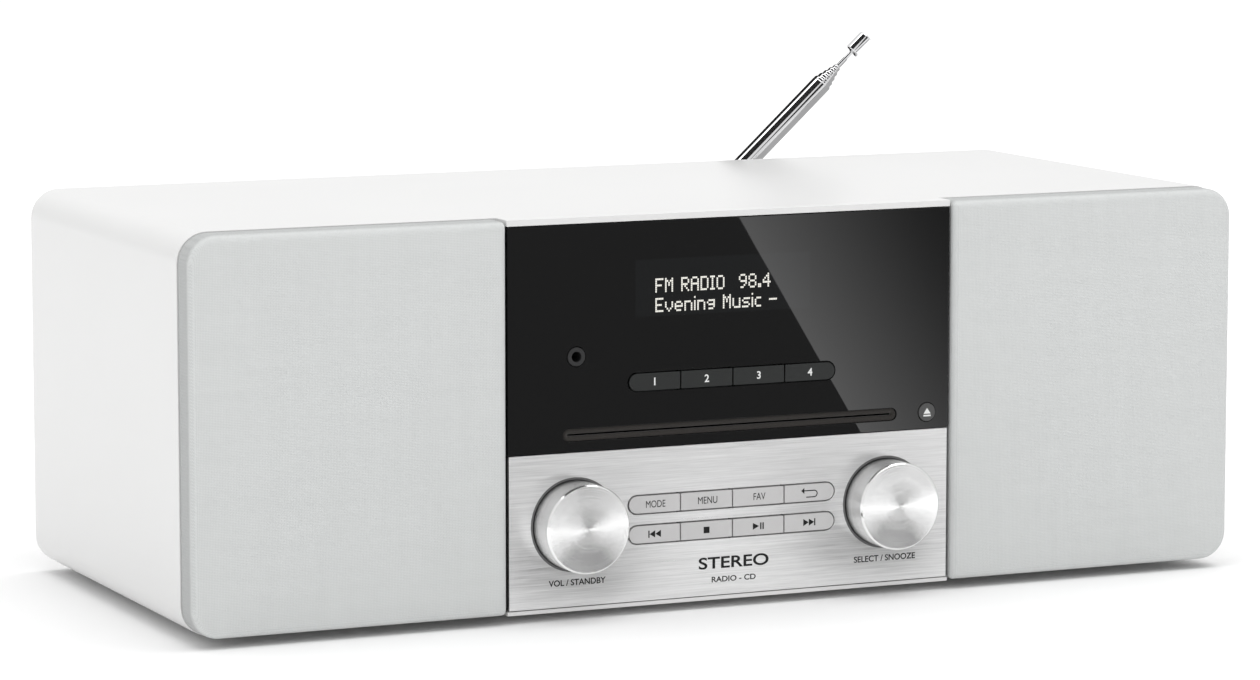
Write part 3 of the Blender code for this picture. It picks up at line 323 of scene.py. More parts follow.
def grained(name, scale, detail, dark, light, roughness, relief=0.0, **constants):
    """A finish with one noise, which tints it from dark to light, adds the second number of the
    roughness to the first, and raises the surface by the relief in millimetres."""
    finish = Finish(name, **constants)
    grain = finish.noise(scale, detail)
    finish.feed(
        base_color=finish.tint(grain, dark, light), roughness=roughness[0] + grain * roughness[1],
    )
    if relief:
        finish.feed(normal=finish.bump(grain, relief * MM))
    return finish


def satin_key(name, dark, light, roughness):
    """Moulded key cap with a satin surface and a very fine grain."""
    finish = Finish(name, specular_ior_level=0.45)
    grain = finish.noise(4200, 2)
    cloud = finish.noise(90, 2)
    return finish.feed(
        base_color=finish.tint(grain * 0.5 + cloud * 0.5, dark, light),
        roughness=roughness + grain * 0.08,
        normal=finish.bump(grain, 0.004 * MM),
    )


def black_plastic():
    """Moulded plastic with a fine spark-eroded grain."""
    finish = Finish("black_plastic", specular_ior_level=0.4)
    grain = finish.noise(2600, 3)
    cloud = finish.noise(40, 2)
    return finish.feed(
        base_color=finish.tint(cloud, (0.016, 0.016, 0.017), (0.026, 0.026, 0.027)),
        roughness=0.48 + grain * 0.14,
        normal=finish.bump(grain, 0.03 * MM),
    )


def ink(name, dark, light):
    """Screen-printed ink, with a slightly uneven film."""
    return grained(name, 2400, 2, dark, light, (0.42, 0.12), 0.004, specular_ior_level=0.15)


def display_dots():
    """Lit dots: warm white, a little uneven from dot to dot."""
    finish = Finish("display_dots", base_color=(0.02, 0.02, 0.02, 1), emission_strength=1.0)
    spread = finish.noise(700, 1)
    return finish.feed(
        emission_color=finish.tint(spread, (0.86, 0.84, 0.76), (1.0, 0.985, 0.92)),
        roughness=0.25 + spread * 0.1,
    )


def circuit_board():
    """Green solder mask with copper tracks that run under it."""
    finish = Finish("circuit_board", specular_ior_level=0.5)
    x, y, _ = finish.axes()
    tracks = (((x + finish.noise(60, 0) * 0.012) * 1400).sine() * ((y + x) * 700).sine()) > 0.35
    return finish.feed(
        base_color=finish.tint(tracks, (0.01, 0.1, 0.035), (0.03, 0.2, 0.08)),
        roughness=0.32 + tracks * 0.1,
        normal=finish.bump(tracks, 0.03 * MM),
    )


def plated_steel():
    """Zinc-plated sheet with its crystal pattern."""
    finish = Finish("plated_steel", metallic=1.0)
    cells = finish.node(
        "ShaderNodeTexVoronoi", {}, {"Vector": finish.position((240, 240, 240)), "Scale": 1.0},
    )
    return finish.feed(
        base_color=finish.tint(cells, (0.5, 0.51, 0.53), (0.7, 0.71, 0.72)),
        roughness=0.28 + cells * 0.2,
    )


FINISHES = {finish.name: finish for finish in (
    cabinet_lacquer(),
    grille_cloth(),
    window_gloss(),
    panel_aluminium(),
    *(knob_aluminium(word, *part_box(f"{word}_knob")) for word in KNOBS),
    # Dark anodised metal around the knobs
    grained(
        "trim_ring", 1800, 2, (0.12, 0.12, 0.12), (0.19, 0.19, 0.19), (0.35, 0.15), metallic=0.6,
    ),
    satin_key("preset_key", (0.008, 0.0095, 0.009), (0.013, 0.015, 0.0145), 0.3),
    satin_key("control_key", (0.52, 0.515, 0.515), (0.6, 0.595, 0.595), 0.42),
    satin_key("eject_key", (0.055, 0.055, 0.055), (0.075, 0.075, 0.075), 0.32),
    black_plastic(),
    # Bright plating with a very slight haze
    grained(
        "antenna_chrome", 160, 3, (0.8, 0.8, 0.81), (0.9, 0.9, 0.91), (0.01, 0.02), metallic=1.0,
    ),
    grained(
        "rubber", 3000, 3, (0.012, 0.012, 0.012), (0.028, 0.028, 0.028), (0.75, 0.15), 0.03,
        specular_ior_level=0.3,
    ),
    # Short dark fibres that mostly stand along the disc's way
    grained(
        "slot_felt", (4200, 300, 4200), 4, (0.009, 0.008, 0.0075), (0.05, 0.045, 0.041),
        (0.9, 0.08), 0.15, specular_ior_level=0.1, sheen_weight=0.3,
    ),
    ink("black_ink", (0.008, 0.008, 0.008), (0.02, 0.02, 0.02)),
    ink("white_ink", (0.72, 0.73, 0.72), (0.84, 0.85, 0.84)),
    ink("grey_ink", (0.36, 0.36, 0.36), (0.46, 0.46, 0.46)),
    display_dots(),
    # Raw fibreboard
    grained(
        "baffle_board", 420, 6, (0.26, 0.17, 0.1), (0.62, 0.46, 0.3), (0.8, 0.12), 0.1,
        specular_ior_level=0.2,
    ),
    # Coated dark glass
    grained(
        "display_glass", 50, 2, (0.012, 0.016, 0.018), (0.024, 0.03, 0.034), (0.06, 0.06),
        specular_ior_level=0.6,
    ),
    circuit_board(),
    plated_steel(),
    # Pressed black paper with long fibres
    grained(
        "speaker_cone", (900, 900, 300), 5, (0.02, 0.02, 0.02), (0.07, 0.07, 0.068),
        (0.82, 0.1), 0.08, specular_ior_level=0.2,
    ),
)}


# ---------------------------------------------------------------- mesh helpers

def piece(name, points, faces, finish, body, replaced=(), sharp=40):
    """A finished object at the origin, made from an array of points and one of faces."""
    mesh = bpy.data.meshes.new(name)
    mesh.from_pydata(np.asarray(points).reshape(-1, 3).tolist(), [], np.asarray(faces).tolist())
    turn_outwards(mesh, poles=True)
    mesh.shade_smooth()
    mesh.set_sharp_from_angle(angle=radians(sharp))
    return enrol(name, mesh, finish, body, replaced)


def turn_outwards(mesh, poles=False):
    """Merges doubled points, drops the empty faces that closed poles leave and turns the others
    outwards."""
    shape = bmesh.new()
    shape.from_mesh(mesh)
    bmesh.ops.remove_doubles(shape, verts=shape.verts, dist=1e-7)
    if poles:
        bmesh.ops.dissolve_degenerate(shape, edges=shape.edges, dist=1e-8)
    bmesh.ops.recalc_face_normals(shape, faces=shape.faces)
    shape.to_mesh(mesh)
    shape.free()


def enrol(name, mesh, finish, body, replaced=()):
    """Makes an object of a mesh, parents it to its body's empty and hides the nodes that it replaces."""
    mesh.materials.clear()
    mesh.materials.append(FINISHES[finish].material)
    obj = bpy.data.objects.new(name, mesh)
    bpy.context.scene.collection.objects.link(obj)
    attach(obj, body)
    if replaced:
        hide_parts(*replaced)
    return obj


def grid_faces(rows, columns, close_rows=False):
    """Quads between neighbouring rows and columns of a grid of points. The columns close on
    themselves, and the rows do if it is asked."""
    row = np.arange(rows if close_rows else rows - 1)[:, None]
    column = np.arange(columns)[None, :]
    next_row, next_column = (row + 1) % rows, (column + 1) % columns
    corners = (
        row * columns + column, row * columns + next_column,
        next_row * columns + next_column, next_row * columns + column,
    )
    return np.stack(np.broadcast_arrays(*corners), axis=-1).reshape(-1, 4)


def rounded(profile, radius, steps=4):
    """The profile with each of its inner corners replaced by an arc of about that radius."""
    profile = np.array(profile, float)
    points = [profile[0]]
    for before, corner, after in zip(profile, profile[1:], profile[2:]):
        to_before, to_after = before - corner, after - corner
        reach = min(radius, 0.45 * np.linalg.norm(to_before), 0.45 * np.linalg.norm(to_after))
        first = corner + to_before / np.linalg.norm(to_before) * reach
        last = corner + to_after / np.linalg.norm(to_after) * reach
        t = np.linspace(0, 1, steps + 1)[:, None]
        points.extend((1 - t) ** 2 * first + 2 * t * (1 - t) * corner + t ** 2 * last)
    points.append(profile[-1])
    return np.array(points)


def turned_points(profile, centre, axis, segments):
    """A profile of (distance along, radius) turned about an axis through the centre."""
    axis = Vector(axis).normalized()
    side = axis.orthogonal().normalized()
    other = axis.cross(side)
    angle = np.linspace(0, 2 * pi, segments, endpoint=False)
    round_unit = np.cos(angle)[:, None] * np.array(side) + np.sin(angle)[:, None] * np.array(other)
    along, radius = np.asarray(profile).T
    return (
        np.array(centre) + along[:, None, None] * np.array(axis)
        + radius[:, None, None] * round_unit[None]
    )


def turned(name, profile, centre, axis, finish, body, replaced=(), segments=64, sharp=40):
    """A turned piece. A profile that starts and ends off the axis is a closed ring."""
    profile = np.asarray(profile)
    ring = profile[0][1] > 0 and profile[-1][1] > 0
    points = turned_points(profile, centre, axis, segments)
    faces = grid_faces(len(profile), segments, close_rows=ring)
    return piece(name, points, faces, finish, body, replaced, sharp)


def refined(node, edge, segments=2):
    """A CAD node's own shape with its flat faces made whole and its edges rounded."""
    shape = bmesh.new()
    shape.from_mesh(frame["nodes"][node].data)
    bmesh.ops.remove_doubles(shape, verts=shape.verts, dist=1e-6)
    bmesh.ops.dissolve_limit(
        shape, angle_limit=radians(0.5), verts=shape.verts, edges=shape.edges,
    )
    mesh = bpy.data.meshes.new(f"{node}_finished")
    shape.to_mesh(mesh)
    shape.free()
    sharp = radians(35)
    mesh.shade_smooth()
    mesh.set_sharp_from_angle(angle=sharp)
    slot = NODE_SLOT[node]
    obj = enrol(f"{node}_finished", mesh, slot, NODE_BODY[node], [node])
    bevel = obj.modifiers.new("edge", "BEVEL")
    bevel.width = edge
    bevel.segments = segments
    bevel.limit_method = "ANGLE"
    bevel.angle_limit = sharp
    bevel.harden_normals = True


def corner_arcs(low, high, radii):
    """Anticlockwise rounded rectangle in X and Z, a quarter circle at each corner. Radii start at
    the lower left corner."""
    low, high = np.array(low), np.array(high)
    signs = np.array([(1, 1), (-1, 1), (-1, -1), (1, -1)])
    arcs = []
    for quarter, (sign, radius) in enumerate(zip(signs, radii)):
        centre = np.where(sign > 0, low, high) + sign * radius
        angle = pi + pi / 2 * (quarter + np.linspace(0, 1, 11))
        arcs.append(centre + radius * np.stack([np.cos(angle), np.sin(angle)], axis=1))
    return np.concatenate(arcs)


def with_depth(outline, y):
    """Points in X and Z, given one Y."""
    return np.stack([outline[:, 0], np.full(len(outline), y), outline[:, 1]], axis=1)


# ---------------------------------------------------------------- cabinet and grilles

def grille(word):
    """Cloth stretched over the frame. Rings of the outline go over the front from its middle,
    around a quarter-circle edge and back along the sides."""
    low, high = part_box(f"grille_cloth_{word}")
    radii = [GRILLE_CORNER, GRILLE_INNER_CORNER, GRILLE_INNER_CORNER, GRILLE_CORNER]
    if word == "right":
        radii = [radii[1], radii[0], radii[0], radii[1]]
    skin = CLOTH_THICKNESS / 2

    def outline(inset):
        shrunk = [max(radius - inset, 0.6 * MM) for radius in radii]
        return corner_arcs(
            (low.x + inset, low.z + inset), (high.x - inset, high.z - inset), shrunk,
        )

    middle = np.array([(low.x + high.x) / 2, (low.z + high.z) / 2])
    edge = outline(GRILLE_EDGE)
    rings = []
    for share in np.linspace(0, 1, 15)[:-1]:
        sag = CLOTH_SAG * (1 - share ** 2) ** 2
        rings.append(with_depth(middle + (edge - middle) * share, low.y + skin + sag))
    for angle in np.linspace(0, pi / 2, 9):
        inset = skin + (GRILLE_EDGE - skin) * (1 - sin(angle))
        depth = skin + (GRILLE_EDGE - skin) * (1 - cos(angle))
        rings.append(with_depth(outline(inset), low.y + depth))
    rings += [with_depth(outline(skin), y) for y in np.linspace(low.y + GRILLE_EDGE, high.y, 5)[1:]]
    points = np.stack(rings)
    cloth = piece(
        f"cloth_{word}", points, grid_faces(*points.shape[:2]), "grille_cloth", "cabinet",
        [f"grille_cloth_{word}"], 60,
    )
    skin_modifier = cloth.modifiers.new("thickness", "SOLIDIFY")
    skin_modifier.thickness = CLOTH_THICKNESS
    skin_modifier.offset = 0


def foot(node):
    """A turned rubber foot with a rounded rim and a shallow dish underneath."""
    low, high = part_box(node)
    centre = ((low.x + high.x) / 2, (low.y + high.y) / 2, 0)
    radius, top = (high.x - low.x) / 2, high.z
    dish = [(0.5 * MM, 0), (0.5 * MM, radius - 3.6 * MM), (0, radius - 2.6 * MM)]
    body = rounded(dish + [(0, radius), (top, radius), (top, 0)], 0.7 * MM)
    turned(f"{node}_finished", body, centre, (0, 0, 1), "rubber", NODE_BODY[node], [node])


# ---------------------------------------------------------------- knobs

def knob(word):
    """Turned knob: a face with a small centre point, a polished chamfer, a satin side, and the
    hollow with its boss behind. A trim ring lies around it in the panel's hole."""
    node = f"{word}_knob"
    low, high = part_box(node)
    centre = ((low.x + high.x) / 2, 0, (low.z + high.z) / 2)
    radius = (high.x - low.x) / 2
    face, rear = low.y, high.y
    inner = radius - KNOB_WALL
    profile = rounded([
        (face + 0.3 * MM, 0), (face + 0.25 * MM, 0.35 * MM), (face, 0.7 * MM),
        (face, radius - KNOB_CHAMFER), (face + KNOB_CHAMFER, radius), (rear, radius),
        (rear, inner), (face + KNOB_FACE_WALL, inner), (face + KNOB_FACE_WALL, KNOB_BOSS),
        (rear - 0.4 * MM, KNOB_BOSS), (rear - 0.4 * MM, KNOB_BORE),
        (face + KNOB_BORE_FLOOR, KNOB_BORE), (face + KNOB_BORE_FLOOR, 0),
    ], 0.12 * MM, 3)
    turned(
        f"{node}_finished", profile, centre, (0, 1, 0), f"knob_aluminium_{word}",
        NODE_BODY[node], [node], 128, 25,
    )
    inside, outside = radius + RING_GAP, radius + RING_GAP + RING_WIDTH
    front, back = PANEL_LOW.y + 0.1 * MM, PANEL_HIGH.y
    ring = rounded([
        (back, inside), (front, inside), (front, outside), (back, outside),
    ], 0.15 * MM)
    turned(
        f"{word}_trim_ring", ring, centre, (0, 1, 0), "trim_ring", "cabinet",
        (), 128, 25,
    )


# ---------------------------------------------------------------- antenna

def turned_chrome(name, profile, axis, body, replaced=(), segments=48):
    """A turned chrome piece about an axis through the antenna's pivot."""
    chrome = "antenna_chrome"
    turned(name, profile, PIVOT, axis, chrome, body, replaced, segments, 50)


def reach_along(node):
    """Where a tube starts and ends along the antenna, and its outer radius."""
    points = np.array([vertex.co for vertex in frame["nodes"][node].data.vertices])
    points = points - np.array(PIVOT)
    along = points @ np.array(ALONG)
    radius = np.linalg.norm(points - along[:, None] * np.array(ALONG), axis=1)
    return along.min(), along.max(), radius.max()


def antenna():
    """Tubes with rolled lips, the tongue at the foot, and the rod with its tip."""
    for number in range(1, TUBES + 1):
        node = f"antenna_tube_{number}"
        start, end, outer = reach_along(node)
        inner, crest = outer - TUBE_WALL, outer - 0.02 * MM
        lip = [
            (end - 1.5 * MM, outer), (end - 1.3 * MM, outer - 0.14 * MM), (end - 1.1 * MM, crest),
            (end - 0.35 * MM, crest), (end, outer - 0.3 * MM), (end, inner),
        ]
        if number == 1:
            start, floor = TUBE_START, TUBE_START + 3 * MM
            profile = [(start, 0), (start, outer), *lip, (floor, inner), (floor, 0)]
        else:
            profile = [(start, inner), (start, outer), *lip]
        turned_chrome(f"{node}_finished", rounded(profile, 0.3 * MM, 3), ALONG, node, [node])
    tongue()
    start, end, tip = reach_along("antenna_rod")
    tip_start, edge = end - TIP_LENGTH, 0.5 * MM
    profile = [
        (start, 0), (start, ROD_RADIUS), (tip_start, ROD_RADIUS), (tip_start, tip - edge),
        (tip_start + edge, tip), (end - edge, tip), (end, tip - edge), (end, 0),
    ]
    turned_chrome(
        "antenna_rod_finished", rounded(profile, 0.35 * MM), ALONG, "antenna_rod", ["antenna_rod"],
    )


def about_fold(outline, height, first, second):
    """A flat outline in two directions from the pivot, at a height along the fold's axis."""
    flat = outline[:, :1] * np.array(first) + outline[:, 1:] * np.array(second)
    return np.array(PIVOT) + flat + height * np.array(FOLD_AXIS)


def swivel():
    """A turned turret in the rear panel, a fork of two ears and a pin through them. An ear is a
    plate with a round end: rings of its outline go over its rounded edges from face to face."""
    node, body = "antenna_swivel_block", "antenna_swivel"
    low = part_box(node)[0].y - PIVOT.y
    front, back, flange = -9 * MM, -4.3 * MM, low + 2 * MM
    turret = rounded([
        (low, 0), (low, 8 * MM), (flange, 8 * MM), (flange, 5 * MM), (front, 5 * MM),
        (front, 7 * MM), (back, 7 * MM), (back, 0),
    ], 0.6 * MM)
    turned_chrome("antenna_turret", turret, (0, 1, 0), body, [node], 96)
    out = Vector((0, 1, 0))
    reach, inner, outer, edge = 4 * MM, 1.85 * MM, 4.8 * MM, 0.4 * MM
    angle = np.linspace(0, pi, 33)
    end = np.stack([np.cos(angle), np.sin(angle)], axis=1)
    foot_y = back - 1 * MM
    for word, sign in (("upper", 1), ("lower", -1)):
        rings = []
        for size, height in (
            (0, inner), (reach - edge, inner), (reach, inner + edge), (reach, outer - edge),
            (reach - edge, outer), (0, outer),
        ):
            outline = np.concatenate([[(size, foot_y)], end * size, [(-size, foot_y)]])
            if not size:
                outline[:] = 0
            rings.append(about_fold(outline, sign * height, out.cross(FOLD_AXIS), out))
        points = np.stack(rings)
        piece(
            f"antenna_ear_{word}", points, grid_faces(*points.shape[:2]), "antenna_chrome", body,
        )
    half, radius = 5 * MM, 1.2 * MM
    pin = rounded([(-half, 0), (-half, radius), (half, radius), (half, 0)], 0.25 * MM)
    turned_chrome("antenna_pin", pin, FOLD_AXIS, body)


def tongue():
    """A flat tongue with a round end and a pin hole: an outline around the hole, with rounded
    edges, carried across the thickness and back through the hole."""
    reach, radius, half, hole, edge = 8.6 * MM, 3.2 * MM, 1.7 * MM, 1.5 * MM, 0.25 * MM
    angle = np.linspace(0, 2 * pi, 64, endpoint=False)
    circle = np.stack([np.cos(angle), np.sin(angle)], axis=1)
    ahead = circle[:, :1] > 0
    stretch = np.where(ahead, np.array([[reach / radius, 1.0]]), 1.0)
    square = np.sign(circle) * np.abs(circle) ** 0.35
    outer = np.where(ahead, square, circle) * radius * stretch
    drawn_in = outer * (1 - edge / radius)
    rings = [
        (drawn_in, -half), (outer, edge - half), (outer, half - edge), (drawn_in, half),
        (circle * (hole + edge), half), (circle * hole, half - edge),
        (circle * hole, edge - half), (circle * (hole + edge), -half),
    ]
    across = FOLD_AXIS.cross(ALONG)
    points = np.stack([about_fold(ring, height, ALONG, across) for ring, height in rings])
    piece(
        "antenna_tongue", points, grid_faces(*points.shape[:2], close_rows=True),
        "antenna_chrome", "antenna_tube_1",
    )


# ---------------------------------------------------------------- window details

def slot_lips():
    """Felt around the disc slot: a stadium outline drawn in to a thin slit."""
    slot_z = middle_of("eject_button")[2]
    angle = np.linspace(0, 2 * pi, 96, endpoint=False)
    round_end = np.stack([np.cos(angle), np.sin(angle)], axis=1)
    straight = np.sign(round_end) * np.array([SLOT_HALF - SLOT_RISE, 0])

    def stadium(rise, y):
        return with_depth(straight + round_end * rise + np.array([0, slot_z]), y)

    front, back = WINDOW_LOW.y + 0.35 * MM, WINDOW_HIGH.y - 0.2 * MM
    points = np.stack([
        stadium(SLOT_RISE, back), stadium(SLOT_RISE, front + 0.2 * MM),
        stadium(SLOT_RISE - 0.3 * MM, front), stadium(SLIT_RISE + 0.5 * MM, front + 0.1 * MM),
        stadium(SLIT_RISE, front + 0.6 * MM), stadium(SLIT_RISE, back),
    ])
    piece(
        "slot_felt", points, grid_faces(*points.shape[:2], close_rows=True), "slot_felt",
        "cabinet",
    )


def headphone_collar():
    """A turned collar in the headphone socket, with a rim that stands a little proud."""
    radius, bore, back = 3.15 * MM, 1.85 * MM, 1.2 * MM
    profile = rounded([
        (0.05 * MM, bore), (-0.12 * MM, bore + 0.3 * MM), (-0.12 * MM, radius - 0.35 * MM),
        (0.15 * MM, radius), (back, radius), (back, bore),
    ], 0.15 * MM)
    x, y, z = middle_of("headphone_socket")
    turned(
        "headphone_collar", profile, (x, y, z), (0, 1, 0), "black_plastic", "cabinet",
    )


# ---------------------------------------------------------------- printing

def boxes(name, centres, size, y, finish, body):
    """Thin blocks of one size in X and Z, one around each centre, all in one piece."""
    signs = np.array([(-1, -1), (1, -1), (1, 1), (-1, 1)]) / 2
    flat = np.asarray(centres)[:, None] + signs[None] * size
    points = np.empty((len(centres), 2, 4, 3))
    points[..., 0] = flat[:, None, :, 0]
    points[..., 1] = np.array([y - INK_THICKNESS, y])[None, :, None]
    points[..., 2] = flat[:, None, :, 1]
    block = np.array([
        (0, 1, 2, 3), (7, 6, 5, 4), (0, 4, 5, 1), (1, 5, 6, 2), (2, 6, 7, 3), (3, 7, 4, 0),
    ])
    faces = (np.arange(len(centres))[:, None, None] * 8 + block[None]).reshape(-1, 4)
    return piece(name, points, faces, finish, body)


def prism(name, outlines, y, finish, body):
    """Thin flat shapes with straight edges, each given by its outline in X and Z: the outline at
    the front, the same at the back, and a wall between them."""
    points, faces, first = [], [], 0
    for outline in map(np.array, outlines):
        points += [with_depth(outline, y - INK_THICKNESS), with_depth(outline, y)]
        front = first + np.arange(len(outline))
        back = front + len(outline)
        faces += [front.tolist(), back[::-1].tolist()]
        faces += np.stack([front, back, np.roll(back, -1), np.roll(front, -1)], axis=1).tolist()
        first += 2 * len(outline)
    mesh = bpy.data.meshes.new(name)
    mesh.from_pydata(np.concatenate(points).tolist(), [], faces)
    turn_outwards(mesh)
    return enrol(name, mesh, finish, body)


def lettering(
    name, words, centre, height, y, finish, body, width=None, facing=-1, weight=0.018,
):
    """Words as a thin mesh, sized by their capital height and by their width if it is given.
    They face the front with -1 and the back with 1."""
    curve = bpy.data.curves.new(name, "FONT")
    curve.body = words
    curve.extrude = 1.0
    curve.offset = weight
    source = bpy.data.objects.new(name, curve)
    bpy.context.scene.collection.objects.link(source)
    bpy.context.view_layer.update()
    mesh = bpy.data.meshes.new_from_object(
        source.evaluated_get(bpy.context.evaluated_depsgraph_get())
    )
    bpy.data.objects.remove(source)
    points = np.zeros(len(mesh.vertices) * 3, np.float32)
    mesh.vertices.foreach_get("co", points)
    points = points.reshape(-1, 3)
    low, high = points.min(axis=0), points.max(axis=0)
    middle, size = (low + high) / 2, high - low
    scale_z = height / size[1]
    scale_x = width / size[0] if width else scale_z
    moved = np.empty_like(points)
    moved[:, 0] = centre[0] - facing * (points[:, 0] - middle[0]) * scale_x
    moved[:, 1] = y + facing * INK_THICKNESS / 2 * (1 + points[:, 2])
    moved[:, 2] = centre[1] + (points[:, 1] - middle[1]) * scale_z
    mesh.vertices.foreach_set("co", moved.ravel())
    turn_outwards(mesh)
    return enrol(name, mesh, finish, body)


GLYPHS = {
    "A": ".###. #...# #...# ##### #...# #...# #...#",
    "D": "####. #...# #...# #...# #...# #...# ####.",
    "E": "##### #.... #.... ####. #.... #.... #####",
    "F": "##### #.... #.... ####. #.... #.... #....",
    "I": "### .#. .#. .#. .#. .#. ###",
    "M": "#...# ##.## #.#.# #.#.# #...# #...# #...#",
    "O": ".###. #...# #...# #...# #...# #...# .###.",
    "R": "####. #...# #...# ####. #.#.. #..#. #...#",
    "c": ".... .... .### #... #... #... .###",
    "e": "..... ..... .###. #...# ##### #.... .###.",
    "g": "..... ..... .#### #...# .#### ....# .###.",
    "i": "# . # # # # #",
    "n": "..... ..... ####. #...# #...# #...# #...#",
    "s": "..... ..... .#### #.... .###. ....# ####.",
    "u": "..... ..... #...# #...# #...# #...# .####",
    "v": "..... ..... #...# #...# #...# .#.#. ..#..",
    "4": "...#. ..##. .#.#. #..#. ##### ...#. ...#.",
    "8": ".###. #...# #...# .###. #...# #...# .###.",
    "9": ".###. #...# #...# .#### ....# ...#. .##..",
    ".": ".. .. .. .. .. ## ##",
    "-": "..... ..... ..... ##### ..... ..... .....",
    " ": "... ... ... ... ... ... ...",
}


def dot_places(words, top):
    """Middles of the lit dots of a line of words that hangs from a height."""
    places, column = [], 0
    for letter in words:
        rows = GLYPHS[letter].split()
        places += [
            (DISPLAY_LEFT + (column + x + 0.5) * DISPLAY_DOT.x, top - (y + 0.5) * DISPLAY_DOT.y)
            for y, row in enumerate(rows) for x, dot in enumerate(row) if dot == "#"
        ]
        column += len(rows[0]) + 1
    return places


def display_lines():
    """Two lines of lit dots."""
    lines = zip(("FM RADIO  98.4", "Evening Music -"), DISPLAY_TOPS)
    dots = [place for words, top in lines for place in dot_places(words, top)]
    boxes(
        "display_dots", dots, np.array(DISPLAY_DOT) * DOT_FILL, WINDOW_LOW.y, "display_dots",
        "cabinet",
    )


def middle_of(node):
    """The middle of a node's front face."""
    low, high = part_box(node)
    return (low.x + high.x) / 2, low.y, (low.z + high.z) / 2


def triangle(tip, base, z, half):
    """A triangle with its tip at one X and its upright base at another."""
    return [(tip, z), (base, z + half), (base, z - half)]


def bar(x0, x1, z0, z1):
    """An upright rectangle."""
    return [(x0, z0), (x1, z0), (x1, z1), (x0, z1)]


def return_arrow():
    """A line that runs right, turns down in a half circle and runs back, and an arrow head."""
    line, bend, top = 0.18, 1.15, 0.75
    right, low = 3.2 - bend - line, top - 2 * bend
    start, end = -2, -1.2
    angle = np.linspace(pi / 2, -pi / 2, 13)
    arc = np.stack([np.cos(angle), np.sin(angle)], axis=1)
    middle = np.array([right, top - bend])
    hook = np.concatenate([
        [(start, top + line)], middle + arc * (bend + line), [(end, low - line), (end, low + line)],
        middle + arc[::-1] * (bend - line), [(start, top - line)],
    ])
    return hook[::-1], triangle(-3.2, start, top, 1.05)


SIGNS = (
    ("skip_back", "skip_back", (
        bar(-2.4, -1.95, -1.25, 1.25), triangle(-1.95, 0.2, 0, 1.25), triangle(0.25, 2.4, 0, 1.25),
    )),
    ("skip_forward", "skip_forward", (
        bar(1.9, 2.35, -1.25, 1.25), triangle(1.9, -0.2, 0, 1.25), triangle(-0.25, -2.35, 0, 1.25),
    )),
    ("stop", "stop", (bar(-1.12, 1.12, -1.12, 1.12),)),
    ("play_pause", "play_pause", (
        triangle(0.25, -2.1, 0, 1.2), bar(0.7, 1.2, -1.2, 1.2), bar(1.6, 2.1, -1.2, 1.2),
    )),
    ("eject", "eject", (
        ((-1.45, -0.55), (1.45, -0.55), (0, 1.5)), bar(-1.45, 1.45, -1.5, -0.95),
    )),
    ("return", "back", return_arrow()),
)


def cap_icons():
    """The signs on their caps, each from outlines in millimetres around the cap's middle."""
    for sign, button, outlines in SIGNS:
        x, y, z = middle_of(f"{button}_button")
        colour = "white_ink" if button == "eject" else "black_ink"
        placed = [np.array(outline) * MM + (x, z) for outline in outlines]
        node = f"{button}_button"
        prism(f"icon_{sign}", placed, y, colour, node)


def labels():
    """Words on the buttons, digits on the presets and the printing on the panel."""
    for node, words, width in (
        ("mode_button", "MODE", 7.4), ("menu_button", "MENU", 7.4),
        ("favourite_button", "FAV", 4.6),
    ):
        x, y, z = middle_of(node)
        lettering(
            f"label_{node}", words, (x + 0.4 * MM, z), 2.45 * MM, y, "black_ink", node,
            width * MM, weight=0.0,
        )
    for number in range(1, 5):
        node = f"preset_button_{number}"
        x, y, z = middle_of(node)
        lettering(
            f"digit_{number}", str(number), (x, z), 2.7 * MM, y, "white_ink", node,
        )
    for name, words, x, z, height, width in (
        ("label_volume", "VOL / STANDBY", -59.0, 13.2, 2.2, 21.4),
        ("label_select", "SELECT / SNOOZE", 59.85, 13.2, 2.2, 24.3),
        ("label_kind", "STEREO", 0.7, 16.1, 4.2, 27),
        ("label_sources", "RADIO - CD", 0.7, 10.2, 2.0, 17),
    ):
        lettering(
            name, words, (x * MM, z * MM), height * MM, PANEL_LOW.y, "black_ink", "cabinet",
            width * MM,
        )


# ---------------------------------------------------------------- rear

def screw(name, x, z):
    """A pan-head screw. Height over a disc: a dome, less a cross-shaped recess in its middle."""
    radius, rise, arm, reach = 2.9 * MM, 0.45 * MM, 0.38 * MM, 1.7 * MM
    rings, segments = 26, 96
    angle = np.linspace(0, 2 * pi, segments, endpoint=False)
    distance = np.linspace(0, radius, rings)[:, None]
    across, up = distance * np.cos(angle), distance * np.sin(angle)
    dome = rise * np.sqrt(np.clip(1.02 - (distance / radius) ** 2, 0, 1))
    in_cross = ((np.abs(across) < arm) | (np.abs(up) < arm)) & (distance < reach)
    height = np.where(in_cross, -0.1 * MM, dome)
    shown = np.stack([x + across, REAR_HIGH.y + height, z + up], axis=-1)
    back = shown[::-1].copy()
    back[..., 1] = REAR_HIGH.y - 0.3 * MM
    points = np.concatenate([shown, back])
    piece(
        name, points, grid_faces(2 * rings, segments), "plated_steel", "cabinet",
        sharp=30,
    )


